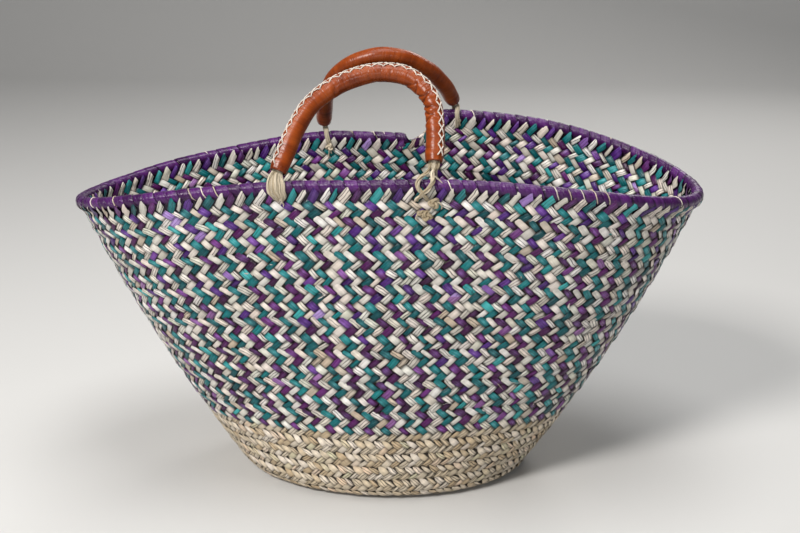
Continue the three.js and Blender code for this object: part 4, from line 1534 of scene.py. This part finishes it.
def floor_sheet():
    """A floor that curves up into a wall behind the basket."""
    side, front, back, curve, top, flat = 9.0, -9.0, 2.2, 1.2, 6.0, 0.6
    sweep = np.linspace(0, 1, 60)
    turn = ease((sweep - flat) / (1 - flat)) * math.pi / 2
    y = np.where(sweep < flat, front + (back - front) * sweep / flat, back + curve * np.sin(turn))
    z = np.where(sweep < flat, 0.0, curve * (1 - np.cos(turn)))
    points = stacked(np.array([[-side], [side]]), np.append(y, y[-1]), np.append(z, top))
    return Surface(points, patch_faces(1, *points.shape[:2]), np.zeros(2), np.zeros(4))


class MARKET_BASKET_OT_stage(bpy.types.Operator):
    """Sets the camera, the lamps and a plain pale floor"""

    bl_idname = "market_basket.stage"
    bl_label = "Stage"

    def execute(self, context):
        scene = context.scene
        camera = bpy.data.objects.new("camera", bpy.data.cameras.new("camera"))
        camera.data.sensor_width = SENSOR
        camera.data.lens = LENS
        camera.location = CAMERA_PLACE
        camera.rotation_euler = [math.radians(turn) for turn in CAMERA_TURN]
        scene.collection.objects.link(camera)
        scene.camera = camera

        finish = Finish("pale_floor", 0.9).done((*scene.basket_colours.floor, 1.0))
        make_piece("floor", [floor_sheet()], [finish])

        for name, (place, size, power, tone) in LAMPS.items():
            lamp = bpy.data.objects.new(name, bpy.data.lights.new(name, "AREA"))
            lamp.data.size = size
            lamp.data.energy = power
            lamp.data.color = tone
            lamp.location = place
            aim = LAMP_AIM - place
            tilt = math.atan2(math.hypot(aim[0], aim[1]), -aim[2])
            lamp.rotation_euler = (tilt, 0.0, math.atan2(-aim[0], aim[1]))
            scene.collection.objects.link(lamp)
        world = bpy.data.worlds.new("studio")
        world.use_nodes = True
        light = world.node_tree.nodes["Background"]
        light.inputs[0].default_value = SKY_TONE
        light.inputs[1].default_value = SKY_STRENGTH
        scene.world = world
        scene.view_settings.view_transform = "Standard"
        return {"FINISHED"}


class MARKET_BASKET_PT_panel(bpy.types.Panel):
    """Sizes, colours and steps of the basket"""

    bl_idname = "MARKET_BASKET_PT_panel"
    bl_label = "Market Basket"
    bl_space_type = "VIEW_3D"
    bl_region_type = "UI"
    bl_category = "Basket"

    def draw(self, context):
        """Lists the sizes and colours of each group, then the steps."""
        for group in given(context)[1:]:
            box = self.layout.box()
            for name in group.__annotations__:
                box.prop(group, name)
        for step in STEPS:
            self.layout.operator(step.bl_idname)


STEPS = (
    MARKET_BASKET_OT_stage,
    MARKET_BASKET_OT_natural_plait,
    MARKET_BASKET_OT_dyed_plait,
    MARKET_BASKET_OT_loose_leaves,
    MARKET_BASKET_OT_rim,
    MARKET_BASKET_OT_seam_cords,
    MARKET_BASKET_OT_handles,
    MARKET_BASKET_OT_ties,
)
GROUPS = (BasketSizes, HandleSizes, BasketColours)


def register():
    """Adds the classes, and the sizes and colours to the scene."""
    for kind in (*GROUPS, *STEPS, MARKET_BASKET_PT_panel):
        bpy.utils.register_class(kind)
    bpy.types.Scene.basket_sizes = bpy.props.PointerProperty(type=BasketSizes)
    bpy.types.Scene.basket_handles = bpy.props.PointerProperty(type=HandleSizes)
    bpy.types.Scene.basket_colours = bpy.props.PointerProperty(type=BasketColours)


def unregister():
    """Takes them away again."""
    del bpy.types.Scene.basket_colours
    del bpy.types.Scene.basket_handles
    del bpy.types.Scene.basket_sizes
    for kind in (MARKET_BASKET_PT_panel, *reversed(STEPS), *reversed(GROUPS)):
        bpy.utils.unregister_class(kind)


def main():
    """Builds the pieces in order."""
    register()
    bpy.ops.market_basket.stage()
    bpy.ops.market_basket.natural_plait()
    bpy.ops.market_basket.dyed_plait()
    bpy.ops.market_basket.loose_leaves()
    bpy.ops.market_basket.rim()
    bpy.ops.market_basket.seam_cords()
    bpy.ops.market_basket.handles()
    bpy.ops.market_basket.ties()


if __name__ == "__main__":
    main()
